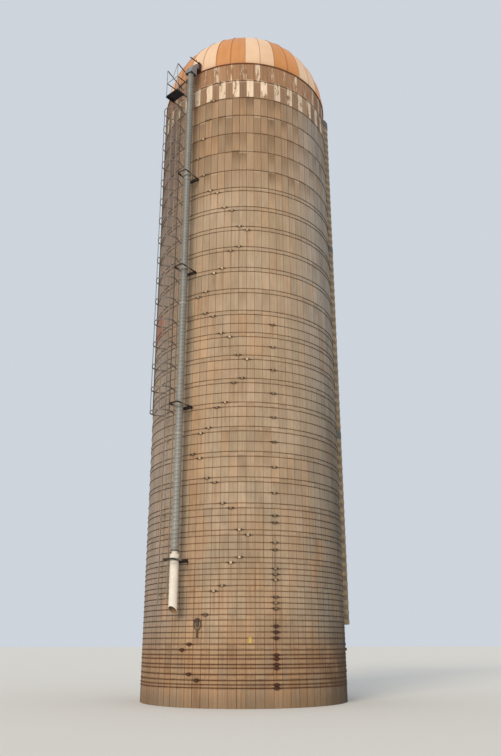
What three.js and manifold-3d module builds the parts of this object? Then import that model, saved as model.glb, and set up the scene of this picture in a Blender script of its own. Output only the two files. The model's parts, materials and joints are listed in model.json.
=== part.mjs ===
// Concrete stave silo with a two-colour steel dome, fill pipe, caged ladder and unloading chute.
// Millimetres, +Z up. The origin is on the ground, on the axis of the silo.
// The front of the silo faces -Y, and azimuths are degrees from the front towards +X.

import * as THREE from "three";
import { mergeVertices } from "three/addons/utils/BufferGeometryUtils.js";
import Module from "manifold-3d";

const wasm = await Module();
wasm.setup();

// Stave wall
const INNER_RADIUS = 3048;
const WALL_THICKNESS = 63.5;
const OUTER_RADIUS = INNER_RADIUS + WALL_THICKNESS;
const STAVE_COUNT = 78;
const STAVE_ANGLE = 360 / STAVE_COUNT;
const FIRST_JOINT_AZIMUTH = 1;
const COURSE_HEIGHT = 762;
const WALL_HEIGHT = 28 * COURSE_HEIGHT;
const SEGMENT_STAVES = 15;
const SEGMENT_NAMES = ["wall_back", "wall_back_left", "wall_left", "wall_front", "wall_right"];

// Door column, three staves wide, closed over by the two courses of the painted band
const DOOR_STAVES = 3;
const DOOR_FIRST_JOINT = 23;
const DOOR_TOP = WALL_HEIGHT - 2 * COURSE_HEIGHT;
const JAMB_WIDTH = 62;
const JAMB_PROUD = 6;
const DOOR_THICKNESS = 45;
const DOOR_BAR_SIZE = 24;

// Floor
const FLOOR_THICKNESS = 150;

// Running gap between pieces that touch
const GAP = 0.3;

// Dome
const DOME_RADIUS = 3118;
const DOME_RISE = 2950;
const DOME_SHEET = 24;
const DOME_LIP = 18;
const DOME_LIP_HEIGHT = 28;
const DOME_SEAT = 58;
const DOME_STEPS = 10;
const DOME_PANELS = 18;
const DOME_SIDES = 72;
const CROWN_RADIUS = 260;
const CAP_RADIUS = 330;
const CAP_THICKNESS = 25;
const CAP_EDGE = 15;

// Fill pipe
const PIPE_AZIMUTH = -34.1;
const PIPE_STANDOFF = 400;
const PIPE_AXIS_RADIUS = OUTER_RADIUS + PIPE_STANDOFF;
const PIPE_RADIUS = 114.5;
const PIPE_WALL = 6;
const PIPE_SIDES = 24;
const PIPE_TOP = 21060;
const PIPE_JOINT = 3970;
const OUTLET_RADIUS = 122.5;
const OUTLET_MIDDLE = 2480;
const OUTLET_MITRE_HALF_RISE = 100;
const OUTLET_MITRE_TURN = 5;
const CUTTER_SIZE = 1000;
const COLLAR_TOP = 3985;
const COLLAR_BOTTOM = 3880;
const COLLAR_RADIUS = 129;

// Pipe brackets
const BRACKET_HEIGHTS = [16680, 13080, 8430, 3828];
const BRACKET_HALF_WIDTH = 165;
const BRACKET_REACH = 700;
const ANGLE_LEG = 50;
const ANGLE_THICKNESS = 8;
const CLAMP_THICKNESS = 8;
const CLAMP_HEIGHT = 60;
const CLAMP_LUG = 40;
const WALL_PLATE_HEIGHT = 100;
const WALL_PLATE_THICKNESS = 14;
const INTO_WALL = 60;

// Hood from the fill pipe into the dome, its collar, and the rod over it
const HOOD_WIDTH = 300;
const HOOD_SHEET = 8;
const HOOD_BOTTOM = 21000;
const HOOD_BEND = [3580, 21450];
const HOOD_CREST = 3200;
const HOOD_INLET_BOTTOM = 21385;
const HOOD_INLET_TOP = 21640;
const HOOD_INNER_END = 2800;
const COLLAR_MARGIN = 18;
const COLLAR_END = 3270;
const ROD_ACROSS = 125;
const ROD_RADIUS = 20;
const ROD_OUTER_END = [3725, 21572];
const ROD_INNER_END = [3200, 21692];
const ROD_FOOT = [3125, 3250];
const ROD_FOOT_HALF_WIDTH = 38;
const ROD_PIN_SIZE = 18;
const ROD_PIN = [3380, 21730];

// Ladder
const LADDER_AZIMUTH = -45.5;
const LADDER_STANDOFF = 145;
const LADDER_HALF_WIDTH = 215;
const LADDER_BOTTOM = 2700;
const LADDER_TOP = 21500;
const RAIL_DEPTH = 40;
const RAIL_THICKNESS = 12;
const RUNG_RADIUS = 10;
const RUNG_SPACING = 300;
const FOOT_HEIGHT = 50;
const FOOT_SPACING = 3 * COURSE_HEIGHT;
const FIRST_FOOT = LADDER_BOTTOM + 200;
const LAST_FOOT = WALL_HEIGHT - 500;

// Safety cage
const CAGE_RADIUS = 360;
const CAGE_CENTRE_STANDOFF = 480;
const CAGE_TOP = 19590;
const CAGE_BOTTOM = 8270;
const CAGE_HOOPS = 16;
const CAGE_HALF_ARC = 100;
const CAGE_BAR_HEIGHT = 44;
const CAGE_BAR_THICKNESS = 8;
const CAGE_STRAP_ANGLES = [-80, -20, 40, 95];
const CAGE_STRAP_WIDTH = 36;
const CAGE_STRAP_THICKNESS = 12;

// Platform and guard rail
const PLATFORM_AZIMUTH = -42.6;
const PLATFORM_HEIGHT = 20200;
const PLATFORM_THICKNESS = 30;
const PLATFORM_HALF_WIDTH = 290;
const PLATFORM_NEAR = 430;
const PLATFORM_FAR = 800;
const BEARER_SIZE = 40;
const GUARD_POST = 20;
const GUARD_BAR = 26;
const GUARD_MID = 20800;
const GUARD_TOP = 21385;
const GUARD_TOP_AT_WALL = 21030;
const GUARD_BRACE = 16;

// Unloading chute
const CHUTE_RADIUS = 430;
const CHUTE_CENTRE_RADIUS = 3350;
const CHUTE_SHEET = 14;
const CHUTE_FOOT = 45;
const CHUTE_FOOT_THICKNESS = 12;
const CHUTE_BOTTOM = 2200;
const CHUTE_TOP = 22000;
const CHUTE_CAP_SIDE = 230;
const CHUTE_CAP_RISE = 190;
const CHUTE_CAP_DEPTH = 700;
const ARC_STEPS = 12;

// Ring hanging on a peg in the wall, with a stem below it
const RING_AZIMUTH = -24.3;
const RING_HEIGHT = 2114;
const RING_HALF_WIDTH = 118;
const RING_HALF_HEIGHT = 160;
const RING_BAR = 22;
const RING_STANDOFF = 4;
const RING_STEM_BOTTOM = 1765;
const RING_STEM_WIDTH = 45;
const RING_PEG_WIDTH = 30;

// Sizes of cutting solids, larger than anything they cut
const TALL = 40000;
const OVERCUT = 10;

const radians = THREE.MathUtils.degToRad;

// Colours and finishes
function finish(color, roughness, metalness) {
  return new THREE.MeshStandardMaterial({ color, roughness, metalness, flatShading: true });
}

const concrete = finish(0xa08a74, 0.9, 0);
const floorConcrete = finish(0x8c8880, 0.9, 0);
const orangeSheet = finish(0xd29a5c, 0.55, 0.2);
const creamSheet = finish(0xe6cdb0, 0.5, 0.2);
const galvanised = finish(0x9a9c9c, 0.45, 0.7);
const whitePipe = finish(0xded4c2, 0.5, 0.1);
const darkSteel = finish(0x4a4038, 0.65, 0.5);
const rustySteel = finish(0x5a3128, 0.75, 0.3);
const chuteSheet = finish(0x94836a, 0.7, 0.2);
const doorWood = finish(0x7a6450, 0.85, 0);

// Solids and geometries

function toSolid(geometry) {
  const bare = geometry.clone();
  bare.deleteAttribute("normal");
  bare.deleteAttribute("uv");
  const merged = mergeVertices(bare, 0.001);
  return new wasm.Manifold(new wasm.Mesh({
    numProp: 3,
    vertProperties: new Float32Array(merged.attributes.position.array),
    triVerts: new Uint32Array(merged.index.array),
  }));
}

function toGeometry(solid) {
  const mesh = solid.getMesh();
  const geometry = new THREE.BufferGeometry();
  geometry.setAttribute("position", new THREE.BufferAttribute(mesh.vertProperties, 3));
  geometry.setIndex(new THREE.BufferAttribute(mesh.triVerts, 1));
  geometry.computeVertexNormals();
  return geometry;
}

function joined(solids) {
  return solids.reduce((whole, solid) => whole.add(solid));
}

// A range across the azimuth between two distances on one side, as [low, high]
function sided(side, near, far) {
  return side < 0 ? [-far, -near] : [near, far];
}

// A block across the azimuth, out from the silo's axis and up, each as [low, high]
function block(across, out, up) {
  const geometry = new THREE.BoxGeometry(across[1] - across[0], out[1] - out[0], up[1] - up[0]);
  geometry.translate((across[0] + across[1]) / 2, -(out[0] + out[1]) / 2, (up[0] + up[1]) / 2);
  return toSolid(geometry);
}

// A plan outline of points [across, out] extruded between two heights
function prism(outline, bottom, top) {
  const shape = new THREE.Shape(outline.map(([across, out]) => new THREE.Vector2(across, -out)));
  const geometry = new THREE.ExtrudeGeometry(shape, { depth: top - bottom, bevelEnabled: false });
  return toSolid(geometry.translate(0, 0, bottom));
}

// An outline of points [out, up] in the radial plane, extruded to a width across it
function radialPrism(outline, width) {
  const shape = new THREE.Shape(outline.map(([out, up]) => new THREE.Vector2(out, up)));
  const geometry = new THREE.ExtrudeGeometry(shape, { depth: width, bevelEnabled: false });
  geometry.translate(0, 0, -width / 2);
  const axes = new THREE.Matrix4().makeBasis(
    new THREE.Vector3(0, -1, 0),
    new THREE.Vector3(0, 0, 1),
    new THREE.Vector3(-1, 0, 0),
  );
  return toSolid(geometry.applyMatrix4(axes));
}

// A profile of points [radius, height] turned about the vertical axis
function turned(profile, sides) {
  const points = profile.map(([radius, height]) => new THREE.Vector2(radius, height));
  return toSolid(new THREE.LatheGeometry(points, sides).rotateX(Math.PI / 2));
}

// A round tube standing at a distance out from the silo's axis
function tube(outer, inner, bottom, top, out) {
  const profile = [[inner, bottom], [outer, bottom], [outer, top], [inner, top], [inner, bottom]];
  return turned(profile, PIPE_SIDES).translate([0, -out, 0]);
}

// Points of an arc in plan, degrees from straight out, about a centre at a distance out
function planArc(centreOut, radius, from, to, steps) {
  return Array.from({ length: steps + 1 }, (_, step) => {
    const angle = radians(from + (to - from) * step / steps);
    return [radius * Math.sin(angle), centreOut + radius * Math.cos(angle)];
  });
}

function jointAzimuth(index) {
  return FIRST_JOINT_AZIMUTH + index * STAVE_ANGLE;
}

// The stave wall's outer faces as a solid core, turned so that an azimuth faces the front
function wallCore(azimuth) {
  const radius = OUTER_RADIUS + GAP / Math.cos(radians(STAVE_ANGLE / 2));
  const outline = Array.from({ length: STAVE_COUNT }, (_, index) => {
    const angle = radians(jointAzimuth(index) - azimuth);
    return [radius * Math.sin(angle), radius * Math.cos(angle)];
  });
  return prism(outline.reverse(), -100, WALL_HEIGHT);
}

// Points [radius, height] of the dome's surface moved outwards by an offset, from the base to the crown
function domeProfile(offset, innerEnd) {
  const base = WALL_HEIGHT + DOME_LIP_HEIGHT;
  const last = Math.acos(innerEnd / DOME_RADIUS);
  return Array.from({ length: DOME_STEPS + 1 }, (_, step) => {
    const angle = last * step / DOME_STEPS;
    const radius = DOME_RADIUS * Math.cos(angle) + offset * Math.cos(angle);
    const height = base + DOME_RISE * Math.sin(angle) + offset * Math.sin(angle);
    return [radius, height];
  });
}

// The dome filled solid, grown by an offset, for trimming what meets it
function domeCore(offset) {
  const outer = domeProfile(offset, CROWN_RADIUS);
  const lip = DOME_RADIUS + DOME_LIP + offset;
  const base = WALL_HEIGHT - offset;
  const lipTop = WALL_HEIGHT + DOME_LIP_HEIGHT + offset;
  const top = outer[outer.length - 1][1];
  return turned([[0, base], [lip, base], [lip, lipTop], ...outer, [0, top]], DOME_SIDES);
}

// Geometry of the wall: one segment of whole staves between two heights
function wallSegment(staves, bottom, top) {
  const half = staves * STAVE_ANGLE / 2;
  const trim = THREE.MathUtils.radToDeg(GAP / 2 / INNER_RADIUS);
  const angles = Array.from({ length: staves + 1 }, (_, index) => {
    const angle = index * STAVE_ANGLE - half;
    return THREE.MathUtils.clamp(angle, trim - half, half - trim);
  });
  const face = (radius) => angles.map((angle) => {
    return [radius * Math.sin(radians(angle)), radius * Math.cos(radians(angle))];
  });
  return prism([...face(OUTER_RADIUS).reverse(), ...face(INNER_RADIUS)], bottom, top);
}

// Floor inside the wall, with a sill under the doors
function floorSlab() {
  const inner = INNER_RADIUS - 1.5 * GAP;
  const outer = OUTER_RADIUS - GAP;
  const trim = THREE.MathUtils.radToDeg(GAP / INNER_RADIUS);
  const outline = [];
  for (let index = 0; index < STAVE_COUNT; index++) {
    const angle = jointAzimuth(index);
    const atSill = index >= DOOR_FIRST_JOINT && index <= DOOR_FIRST_JOINT + DOOR_STAVES;
    const firstOfSill = index === DOOR_FIRST_JOINT;
    const lastOfSill = index === DOOR_FIRST_JOINT + DOOR_STAVES;
    const shift = firstOfSill ? trim : lastOfSill ? -trim : 0;
    const at = (radius) => {
      return [radius * Math.sin(radians(angle + shift)), radius * Math.cos(radians(angle + shift))];
    };
    if (!atSill || firstOfSill) outline.push(at(inner));
    if (atSill) outline.push(at(outer));
    if (lastOfSill) outline.push(at(inner));
  }
  return prism(outline.reverse(), 0, FLOOR_THICKNESS);
}

// Steel frame of the door column: two jambs and the bars between them
function doorFrame() {
  const halfAngle = radians(DOOR_STAVES * STAVE_ANGLE / 2);
  const edge = INNER_RADIUS * Math.sin(halfAngle) - GAP;
  const back = INNER_RADIUS * Math.cos(halfAngle);
  const front = OUTER_RADIUS * Math.cos(halfAngle) + JAMB_PROUD;
  const up = [FLOOR_THICKNESS + GAP, DOOR_TOP - GAP];
  const pieces = [-1, 1].map((side) => block(sided(side, edge - JAMB_WIDTH, edge), [back, front], up));
  const half = DOOR_BAR_SIZE / 2;
  for (let height = COURSE_HEIGHT; height < DOOR_TOP; height += COURSE_HEIGHT) {
    const barUp = [height - half, height + half];
    pieces.push(block([-edge + 1, edge - 1], [front - DOOR_BAR_SIZE, front - 1], barUp));
  }
  return joined(pieces);
}

// The wooden doors, stacked behind the bars
function doorPanels() {
  const halfAngle = radians(DOOR_STAVES * STAVE_ANGLE / 2);
  const half = INNER_RADIUS * Math.sin(halfAngle) - JAMB_WIDTH - 2 * GAP;
  const front = OUTER_RADIUS * Math.cos(halfAngle) + JAMB_PROUD - DOOR_BAR_SIZE - GAP;
  const up = [FLOOR_THICKNESS + GAP, DOOR_TOP - GAP];
  return block([-half, half], [front - DOOR_THICKNESS, front], up);
}

// One panel of the dome, two gores wide, facing the front
function domePanel() {
  const outer = domeProfile(0, CROWN_RADIUS);
  const inner = domeProfile(-DOME_SHEET, CROWN_RADIUS).reverse();
  const lip = DOME_RADIUS + DOME_LIP;
  const seat = DOME_RADIUS - DOME_SEAT;
  const base = WALL_HEIGHT + GAP;
  const lipTop = WALL_HEIGHT + DOME_LIP_HEIGHT;
  const ring = [[seat, base], [lip, base], [lip, lipTop], ...outer, ...inner, [seat, lipTop], [seat, base]];
  const halfAngle = radians(180 / DOME_PANELS);
  const apex = GAP / 2 / Math.sin(halfAngle);
  const reach = 2 * DOME_RADIUS;
  const side = reach * Math.tan(halfAngle);
  const wedge = prism([[-side, reach + apex], [side, reach + apex], [0, apex]], 0, TALL);
  return turned(ring, DOME_SIDES).intersect(wedge);
}

function domeCap() {
  const outer = domeProfile(0, CROWN_RADIUS);
  const bottom = outer[outer.length - 1][1] + GAP;
  const top = bottom + CAP_THICKNESS;
  return turned([[0, bottom], [CAP_RADIUS, bottom], [CAP_RADIUS, bottom + CAP_EDGE], [0, top]], PIPE_SIDES);
}

// Outline of the hood in the radial plane, drawn in by an inset for its inside
function hoodOutline(inset, past) {
  const outside = PIPE_AXIS_RADIUS + HOOD_WIDTH / 2 - inset;
  const inside = PIPE_AXIS_RADIUS - HOOD_WIDTH / 2 + inset;
  const top = HOOD_INLET_TOP - inset;
  const front = new THREE.QuadraticBezierCurve(
    new THREE.Vector2(outside, HOOD_BOTTOM),
    new THREE.Vector2(HOOD_BEND[0] - inset, HOOD_BEND[1] - inset),
    new THREE.Vector2(HOOD_CREST, top),
  );
  return [
    [inside, HOOD_BOTTOM - past],
    [outside, HOOD_BOTTOM - past],
    ...front.getPoints(ARC_STEPS).map((point) => [point.x, point.y]),
    [HOOD_INNER_END, top],
    [HOOD_INNER_END, HOOD_INLET_BOTTOM + inset],
    [inside, HOOD_INLET_BOTTOM + inset],
  ];
}

function hoodBore() {
  return radialPrism(hoodOutline(HOOD_SHEET, COLLAR_MARGIN), HOOD_WIDTH - 2 * HOOD_SHEET);
}

// Everything nearer to the silo's axis than a radius, at the height of the hood
function hoodCore(radius) {
  return turned([[0, HOOD_BOTTOM], [radius, HOOD_BOTTOM], [radius, TALL], [0, TALL]], DOME_SIDES);
}

function fillHood() {
  const body = radialPrism(hoodOutline(0, 0), HOOD_WIDTH).subtract(hoodBore());
  return body.subtract(hoodCore(COLLAR_END + 2 * GAP));
}

function hoodCollar() {
  const outline = hoodOutline(-COLLAR_MARGIN, 0).filter(([, up]) => up > HOOD_BOTTOM);
  const body = radialPrism(outline, HOOD_WIDTH + 2 * COLLAR_MARGIN).intersect(hoodCore(COLLAR_END));
  return body.subtract(domeCore(GAP).rotate([0, 0, -PIPE_AZIMUTH])).subtract(hoodBore());
}

// A square bar between two points [across, out, up]
function bar(from, to, size) {
  const start = new THREE.Vector3(from[0], -from[1], from[2]);
  const end = new THREE.Vector3(to[0], -to[1], to[2]);
  const geometry = new THREE.BoxGeometry(size, size, start.distanceTo(end));
  const forward = new THREE.Vector3(0, 0, 1);
  const turn = new THREE.Quaternion().setFromUnitVectors(forward, end.clone().sub(start).normalize());
  const middle = start.clone().add(end).divideScalar(2);
  return toSolid(geometry.applyQuaternion(turn).translate(middle.x, middle.y, middle.z));
}

// Rod over the hood, on a foot on the collar, with a short pin
function hoodRod() {
  const length = Math.hypot(ROD_OUTER_END[0] - ROD_INNER_END[0], ROD_OUTER_END[1] - ROD_INNER_END[1]);
  const slope = Math.atan2(ROD_INNER_END[1] - ROD_OUTER_END[1], ROD_OUTER_END[0] - ROD_INNER_END[0]);
  const middle = [0, 1].map((axis) => (ROD_OUTER_END[axis] + ROD_INNER_END[axis]) / 2);
  const rod = new THREE.CylinderGeometry(ROD_RADIUS, ROD_RADIUS, length, ARC_STEPS);
  rod.rotateX(slope).translate(ROD_ACROSS, -middle[0], middle[1]);
  const footAcross = [ROD_ACROSS - ROD_FOOT_HALF_WIDTH, ROD_ACROSS + ROD_FOOT_HALF_WIDTH];
  const footUp = [HOOD_INLET_TOP + COLLAR_MARGIN + GAP, ROD_INNER_END[1] + ROD_RADIUS];
  const pinAcross = [ROD_ACROSS - ROD_PIN_SIZE / 2, ROD_ACROSS + ROD_PIN_SIZE / 2];
  const pinOut = [ROD_PIN[0] - ROD_PIN_SIZE / 2, ROD_PIN[0] + ROD_PIN_SIZE / 2];
  const pinUp = [middle[1], ROD_PIN[1]];
  return joined([toSolid(rod), block(footAcross, ROD_FOOT, footUp), block(pinAcross, pinOut, pinUp)]);
}

function fillPipe() {
  return tube(PIPE_RADIUS, PIPE_RADIUS - PIPE_WALL, PIPE_JOINT + GAP, PIPE_TOP, PIPE_AXIS_RADIUS);
}

// White pipe at the foot, cut off at a slant at its open end
function outletPipe() {
  const bottom = OUTLET_MIDDLE - 2 * OUTLET_MITRE_HALF_RISE;
  const whole = tube(OUTLET_RADIUS, OUTLET_RADIUS - PIPE_WALL, bottom, PIPE_JOINT, PIPE_AXIS_RADIUS);
  const slope = Math.atan(OUTLET_MITRE_HALF_RISE / OUTLET_RADIUS);
  const cutter = new THREE.BoxGeometry(CUTTER_SIZE, CUTTER_SIZE, CUTTER_SIZE);
  cutter.translate(0, 0, -CUTTER_SIZE / 2);
  cutter.rotateX(-slope);
  cutter.rotateZ(radians(OUTLET_MITRE_TURN));
  cutter.translate(0, -PIPE_AXIS_RADIUS, OUTLET_MIDDLE);
  return whole.subtract(toSolid(cutter));
}

function pipeCollar() {
  const over = PIPE_RADIUS + 2 * GAP;
  const under = OUTLET_RADIUS + 2 * GAP;
  const step = PIPE_JOINT + GAP;
  const profile = [
    [under, COLLAR_BOTTOM],
    [COLLAR_RADIUS, COLLAR_BOTTOM],
    [COLLAR_RADIUS, COLLAR_TOP],
    [over, COLLAR_TOP],
    [over, step],
    [under, step],
    [under, COLLAR_BOTTOM],
  ];
  return turned(profile, PIPE_SIDES).translate([0, -PIPE_AXIS_RADIUS, 0]);
}

// Bracket from the wall round the pipe: wall plate, two angle arms, cross bar and clamp
function pipeBracket(height, pipeRadius) {
  const half = BRACKET_HALF_WIDTH;
  const start = OUTER_RADIUS - INTO_WALL;
  const end = OUTER_RADIUS + BRACKET_REACH;
  const leg = [height - ANGLE_LEG / 2, height + ANGLE_LEG / 2];
  const foot = [height - ANGLE_LEG / 2, height - ANGLE_LEG / 2 + ANGLE_THICKNESS];
  const plateUp = [height - WALL_PLATE_HEIGHT / 2, height + WALL_PLATE_HEIGHT / 2];
  const clampInner = pipeRadius + 2 * GAP;
  const clampOuter = clampInner + CLAMP_THICKNESS;
  const clampUp = [height - CLAMP_HEIGHT / 2, height + CLAMP_HEIGHT / 2];
  const lugOut = [PIPE_AXIS_RADIUS - CLAMP_LUG / 2, PIPE_AXIS_RADIUS + CLAMP_LUG / 2];
  const pieces = [
    block([-half, half], [start, OUTER_RADIUS + WALL_PLATE_THICKNESS], plateUp),
    block([-half, half], [end - ANGLE_THICKNESS, end], leg),
    tube(clampOuter, clampInner, clampUp[0], clampUp[1], PIPE_AXIS_RADIUS),
  ];
  for (const side of [-1, 1]) {
    pieces.push(block(sided(side, half - ANGLE_THICKNESS, half), [start, end], leg));
    pieces.push(block(sided(side, half, half + ANGLE_LEG - ANGLE_THICKNESS), [start, end], foot));
    pieces.push(block(sided(side, clampInner + CLAMP_THICKNESS / 2, half - 1), lugOut, leg));
  }
  return joined(pieces).subtract(wallCore(PIPE_AZIMUTH));
}

// Ladder: rails, rungs and the feet that hold it off the wall
function ladder() {
  const near = OUTER_RADIUS + LADDER_STANDOFF;
  const far = near + RAIL_DEPTH;
  const half = LADDER_HALF_WIDTH;
  const pieces = [];
  for (const side of [-1, 1]) {
    const across = sided(side, half - RAIL_THICKNESS, half);
    pieces.push(block(across, [near, far], [LADDER_BOTTOM, LADDER_TOP]));
    for (let height = FIRST_FOOT; height < LAST_FOOT; height += FOOT_SPACING) {
      pieces.push(block(across, [OUTER_RADIUS - INTO_WALL, near + 1], [height, height + FOOT_HEIGHT]));
    }
  }
  const rung = new THREE.CylinderGeometry(RUNG_RADIUS, RUNG_RADIUS, 2 * half - RAIL_THICKNESS, 6);
  const rungSolid = toSolid(rung.rotateZ(Math.PI / 2).translate(0, -(near + far) / 2, 0));
  for (let height = LADDER_BOTTOM + RUNG_SPACING / 2; height < LADDER_TOP; height += RUNG_SPACING) {
    pieces.push(rungSolid.translate([0, 0, height]));
  }
  return joined(pieces).subtract(wallCore(LADDER_AZIMUTH));
}

// Plan outline of one cage hoop, from rail to rail round the climber
function cageHoopOutline(grow) {
  const centre = OUTER_RADIUS + CAGE_CENTRE_STANDOFF;
  const railNear = OUTER_RADIUS + LADDER_STANDOFF;
  const railFar = railNear + RAIL_DEPTH;
  const side = LADDER_HALF_WIDTH + GAP + CAGE_BAR_THICKNESS + grow;
  const arc = planArc(centre, CAGE_RADIUS + grow, -CAGE_HALF_ARC, CAGE_HALF_ARC, ARC_STEPS);
  return [[side, railNear], [side, railFar], ...arc.reverse(), [-side, railFar], [-side, railNear]];
}

function ladderCage() {
  const centre = OUTER_RADIUS + CAGE_CENTRE_STANDOFF;
  const railNear = OUTER_RADIUS + LADDER_STANDOFF;
  const pitch = (CAGE_TOP - CAGE_BOTTOM) / (CAGE_HOOPS - 1);
  const cutUp = [-OVERCUT, CAGE_BAR_HEIGHT + OVERCUT];
  const ladderSide = LADDER_HALF_WIDTH + GAP;
  const hoop = prism(cageHoopOutline(0), 0, CAGE_BAR_HEIGHT)
    .subtract(prism(cageHoopOutline(-CAGE_BAR_THICKNESS), ...cutUp))
    .subtract(block([-ladderSide, ladderSide], [railNear - OVERCUT, railNear + RAIL_DEPTH], cutUp));
  const pieces = [];
  for (let index = 0; index < CAGE_HOOPS; index++) {
    pieces.push(hoop.translate([0, 0, CAGE_BOTTOM + index * pitch]));
  }
  const strapOut = [CAGE_RADIUS - 2 - CAGE_STRAP_THICKNESS, CAGE_RADIUS - 2];
  const strapUp = [CAGE_BOTTOM, CAGE_TOP + CAGE_BAR_HEIGHT];
  const strap = block([-CAGE_STRAP_WIDTH / 2, CAGE_STRAP_WIDTH / 2], strapOut, strapUp);
  for (const angle of CAGE_STRAP_ANGLES) {
    pieces.push(strap.rotate([0, 0, angle]).translate([0, -centre, 0]));
  }
  return joined(pieces);
}

// Platform plate on two bearers from the wall
function platform() {
  const top = PLATFORM_HEIGHT + PLATFORM_THICKNESS;
  const far = OUTER_RADIUS + PLATFORM_FAR;
  const half = PLATFORM_HALF_WIDTH;
  const pieces = [block([-half, half], [OUTER_RADIUS + PLATFORM_NEAR, far], [PLATFORM_HEIGHT, top])];
  const bearerUp = [PLATFORM_HEIGHT - BEARER_SIZE, PLATFORM_HEIGHT + 1];
  for (const side of [-1, 1]) {
    pieces.push(block(sided(side, half - BEARER_SIZE, half), [OUTER_RADIUS - INTO_WALL, far], bearerUp));
  }
  return joined(pieces).subtract(wallCore(PLATFORM_AZIMUTH));
}

// Guard rail: outer posts, bars from them to the wall, an outer bar and a thin brace
function guardRail() {
  const side = PLATFORM_HALF_WIDTH - GUARD_BAR / 2;
  const wall = OUTER_RADIUS - INTO_WALL;
  const out = OUTER_RADIUS + PLATFORM_FAR - GUARD_BAR / 2;
  const foot = PLATFORM_HEIGHT + PLATFORM_THICKNESS + GAP;
  const slope = (GUARD_TOP - GUARD_TOP_AT_WALL) / (out - OUTER_RADIUS);
  const topAtEnd = GUARD_TOP_AT_WALL - slope * INTO_WALL;
  const pieces = [
    bar([-side, out, GUARD_MID], [side, out, GUARD_MID], GUARD_POST),
    bar([side, out, GUARD_TOP], [0, out, GUARD_MID], GUARD_BRACE),
  ];
  for (const across of [-side, side]) {
    pieces.push(bar([across, out, foot], [across, out, GUARD_TOP], GUARD_POST));
    pieces.push(bar([across, wall, GUARD_MID], [across, out, GUARD_MID], GUARD_BAR));
    pieces.push(bar([across, wall, topAtEnd], [across, out, GUARD_TOP], GUARD_BAR));
  }
  return joined(pieces).subtract(wallCore(PLATFORM_AZIMUTH));
}

// Plan outline of the chute: a half-round front with straight sides into the wall
function chuteOutline(inset, back = INNER_RADIUS - INTO_WALL) {
  const radius = CHUTE_RADIUS - inset;
  return [[-radius, back], ...planArc(CHUTE_CENTRE_RADIUS, radius, -90, 90, ARC_STEPS), [radius, back]];
}

function chute(azimuth) {
  const shell = prism(chuteOutline(0).reverse(), CHUTE_BOTTOM, CHUTE_TOP)
    .subtract(prism(chuteOutline(CHUTE_SHEET).reverse(), CHUTE_BOTTOM - OVERCUT, CHUTE_TOP + OVERCUT));
  const wallOut = OUTER_RADIUS * Math.cos(Math.asin(CHUTE_RADIUS / OUTER_RADIUS));
  const footOut = [INNER_RADIUS - INTO_WALL, wallOut + CHUTE_FOOT_THICKNESS];
  const footUp = [CHUTE_BOTTOM, WALL_HEIGHT - 2 * OVERCUT];
  const feet = [-1, 1].map((side) => {
    return block(sided(side, CHUTE_RADIUS - 1, CHUTE_RADIUS + CHUTE_FOOT), footOut, footUp);
  });
  const whole = joined([shell, ...feet]);
  return whole.subtract(wallCore(azimuth)).subtract(domeCore(GAP).rotate([0, 0, -azimuth]));
}

// Hood with upright sides and a rounded top that closes the top of the chute against the dome
function chuteCapSolid(inset) {
  const radius = CHUTE_RADIUS - inset;
  const rise = CHUTE_CAP_RISE - inset;
  const shoulder = CHUTE_TOP + GAP + CHUTE_CAP_SIDE;
  const outline = chuteOutline(inset, CHUTE_CENTRE_RADIUS - CHUTE_CAP_DEPTH).reverse();
  const ball = new THREE.SphereGeometry(1, 2 * ARC_STEPS, ARC_STEPS).rotateX(Math.PI / 2);
  ball.scale(radius, radius, rise).translate(0, -CHUTE_CENTRE_RADIUS, shoulder);
  const barrel = new THREE.CylinderGeometry(1, 1, 1, 2 * ARC_STEPS);
  barrel.scale(radius, CHUTE_CAP_DEPTH, rise);
  barrel.translate(0, CHUTE_CAP_DEPTH / 2 - CHUTE_CENTRE_RADIUS, shoulder);
  return joined([prism(outline, CHUTE_TOP - OVERCUT, shoulder), toSolid(ball), toSolid(barrel)]);
}

function chuteCap(azimuth) {
  const sides = [-CUTTER_SIZE, CUTTER_SIZE];
  const above = block(sides, [0, 2 * OUTER_RADIUS], [CHUTE_TOP + GAP, CHUTE_TOP + CUTTER_SIZE]);
  const shell = chuteCapSolid(0).subtract(chuteCapSolid(CHUTE_SHEET));
  return shell.intersect(above).subtract(domeCore(GAP).rotate([0, 0, -azimuth]));
}

// Ring on a peg in the wall, with its stem hanging below
function tieRing() {
  const loop = new THREE.Shape();
  loop.absellipse(0, 0, RING_HALF_WIDTH, RING_HALF_HEIGHT, 0, 2 * Math.PI);
  const hole = new THREE.Path();
  hole.absellipse(0, 0, RING_HALF_WIDTH - RING_BAR, RING_HALF_HEIGHT - RING_BAR, 0, 2 * Math.PI);
  loop.holes.push(hole);
  const near = OUTER_RADIUS + RING_STANDOFF;
  const options = { depth: RING_BAR, bevelEnabled: false, curveSegments: ARC_STEPS };
  const geometry = new THREE.ExtrudeGeometry(loop, options);
  geometry.rotateX(Math.PI / 2).translate(0, -near, RING_HEIGHT);
  const stemTop = RING_HEIGHT - RING_HALF_HEIGHT + RING_BAR / 2;
  const stemAcross = [-RING_STEM_WIDTH / 2, RING_STEM_WIDTH / 2];
  const stem = block(stemAcross, [near, near + RING_BAR], [RING_STEM_BOTTOM, stemTop]);
  const pegTop = RING_HEIGHT + RING_HALF_HEIGHT - 2;
  const pegAcross = [-RING_PEG_WIDTH / 2, RING_PEG_WIDTH / 2];
  const peg = block(pegAcross, [OUTER_RADIUS - INTO_WALL, near + 1], [pegTop - RING_BAR, pegTop]);
  return joined([toSolid(geometry), stem, peg]).subtract(wallCore(RING_AZIMUTH));
}

// The scene graph

const silo = new THREE.Group();
silo.name = "stave_silo";

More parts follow.
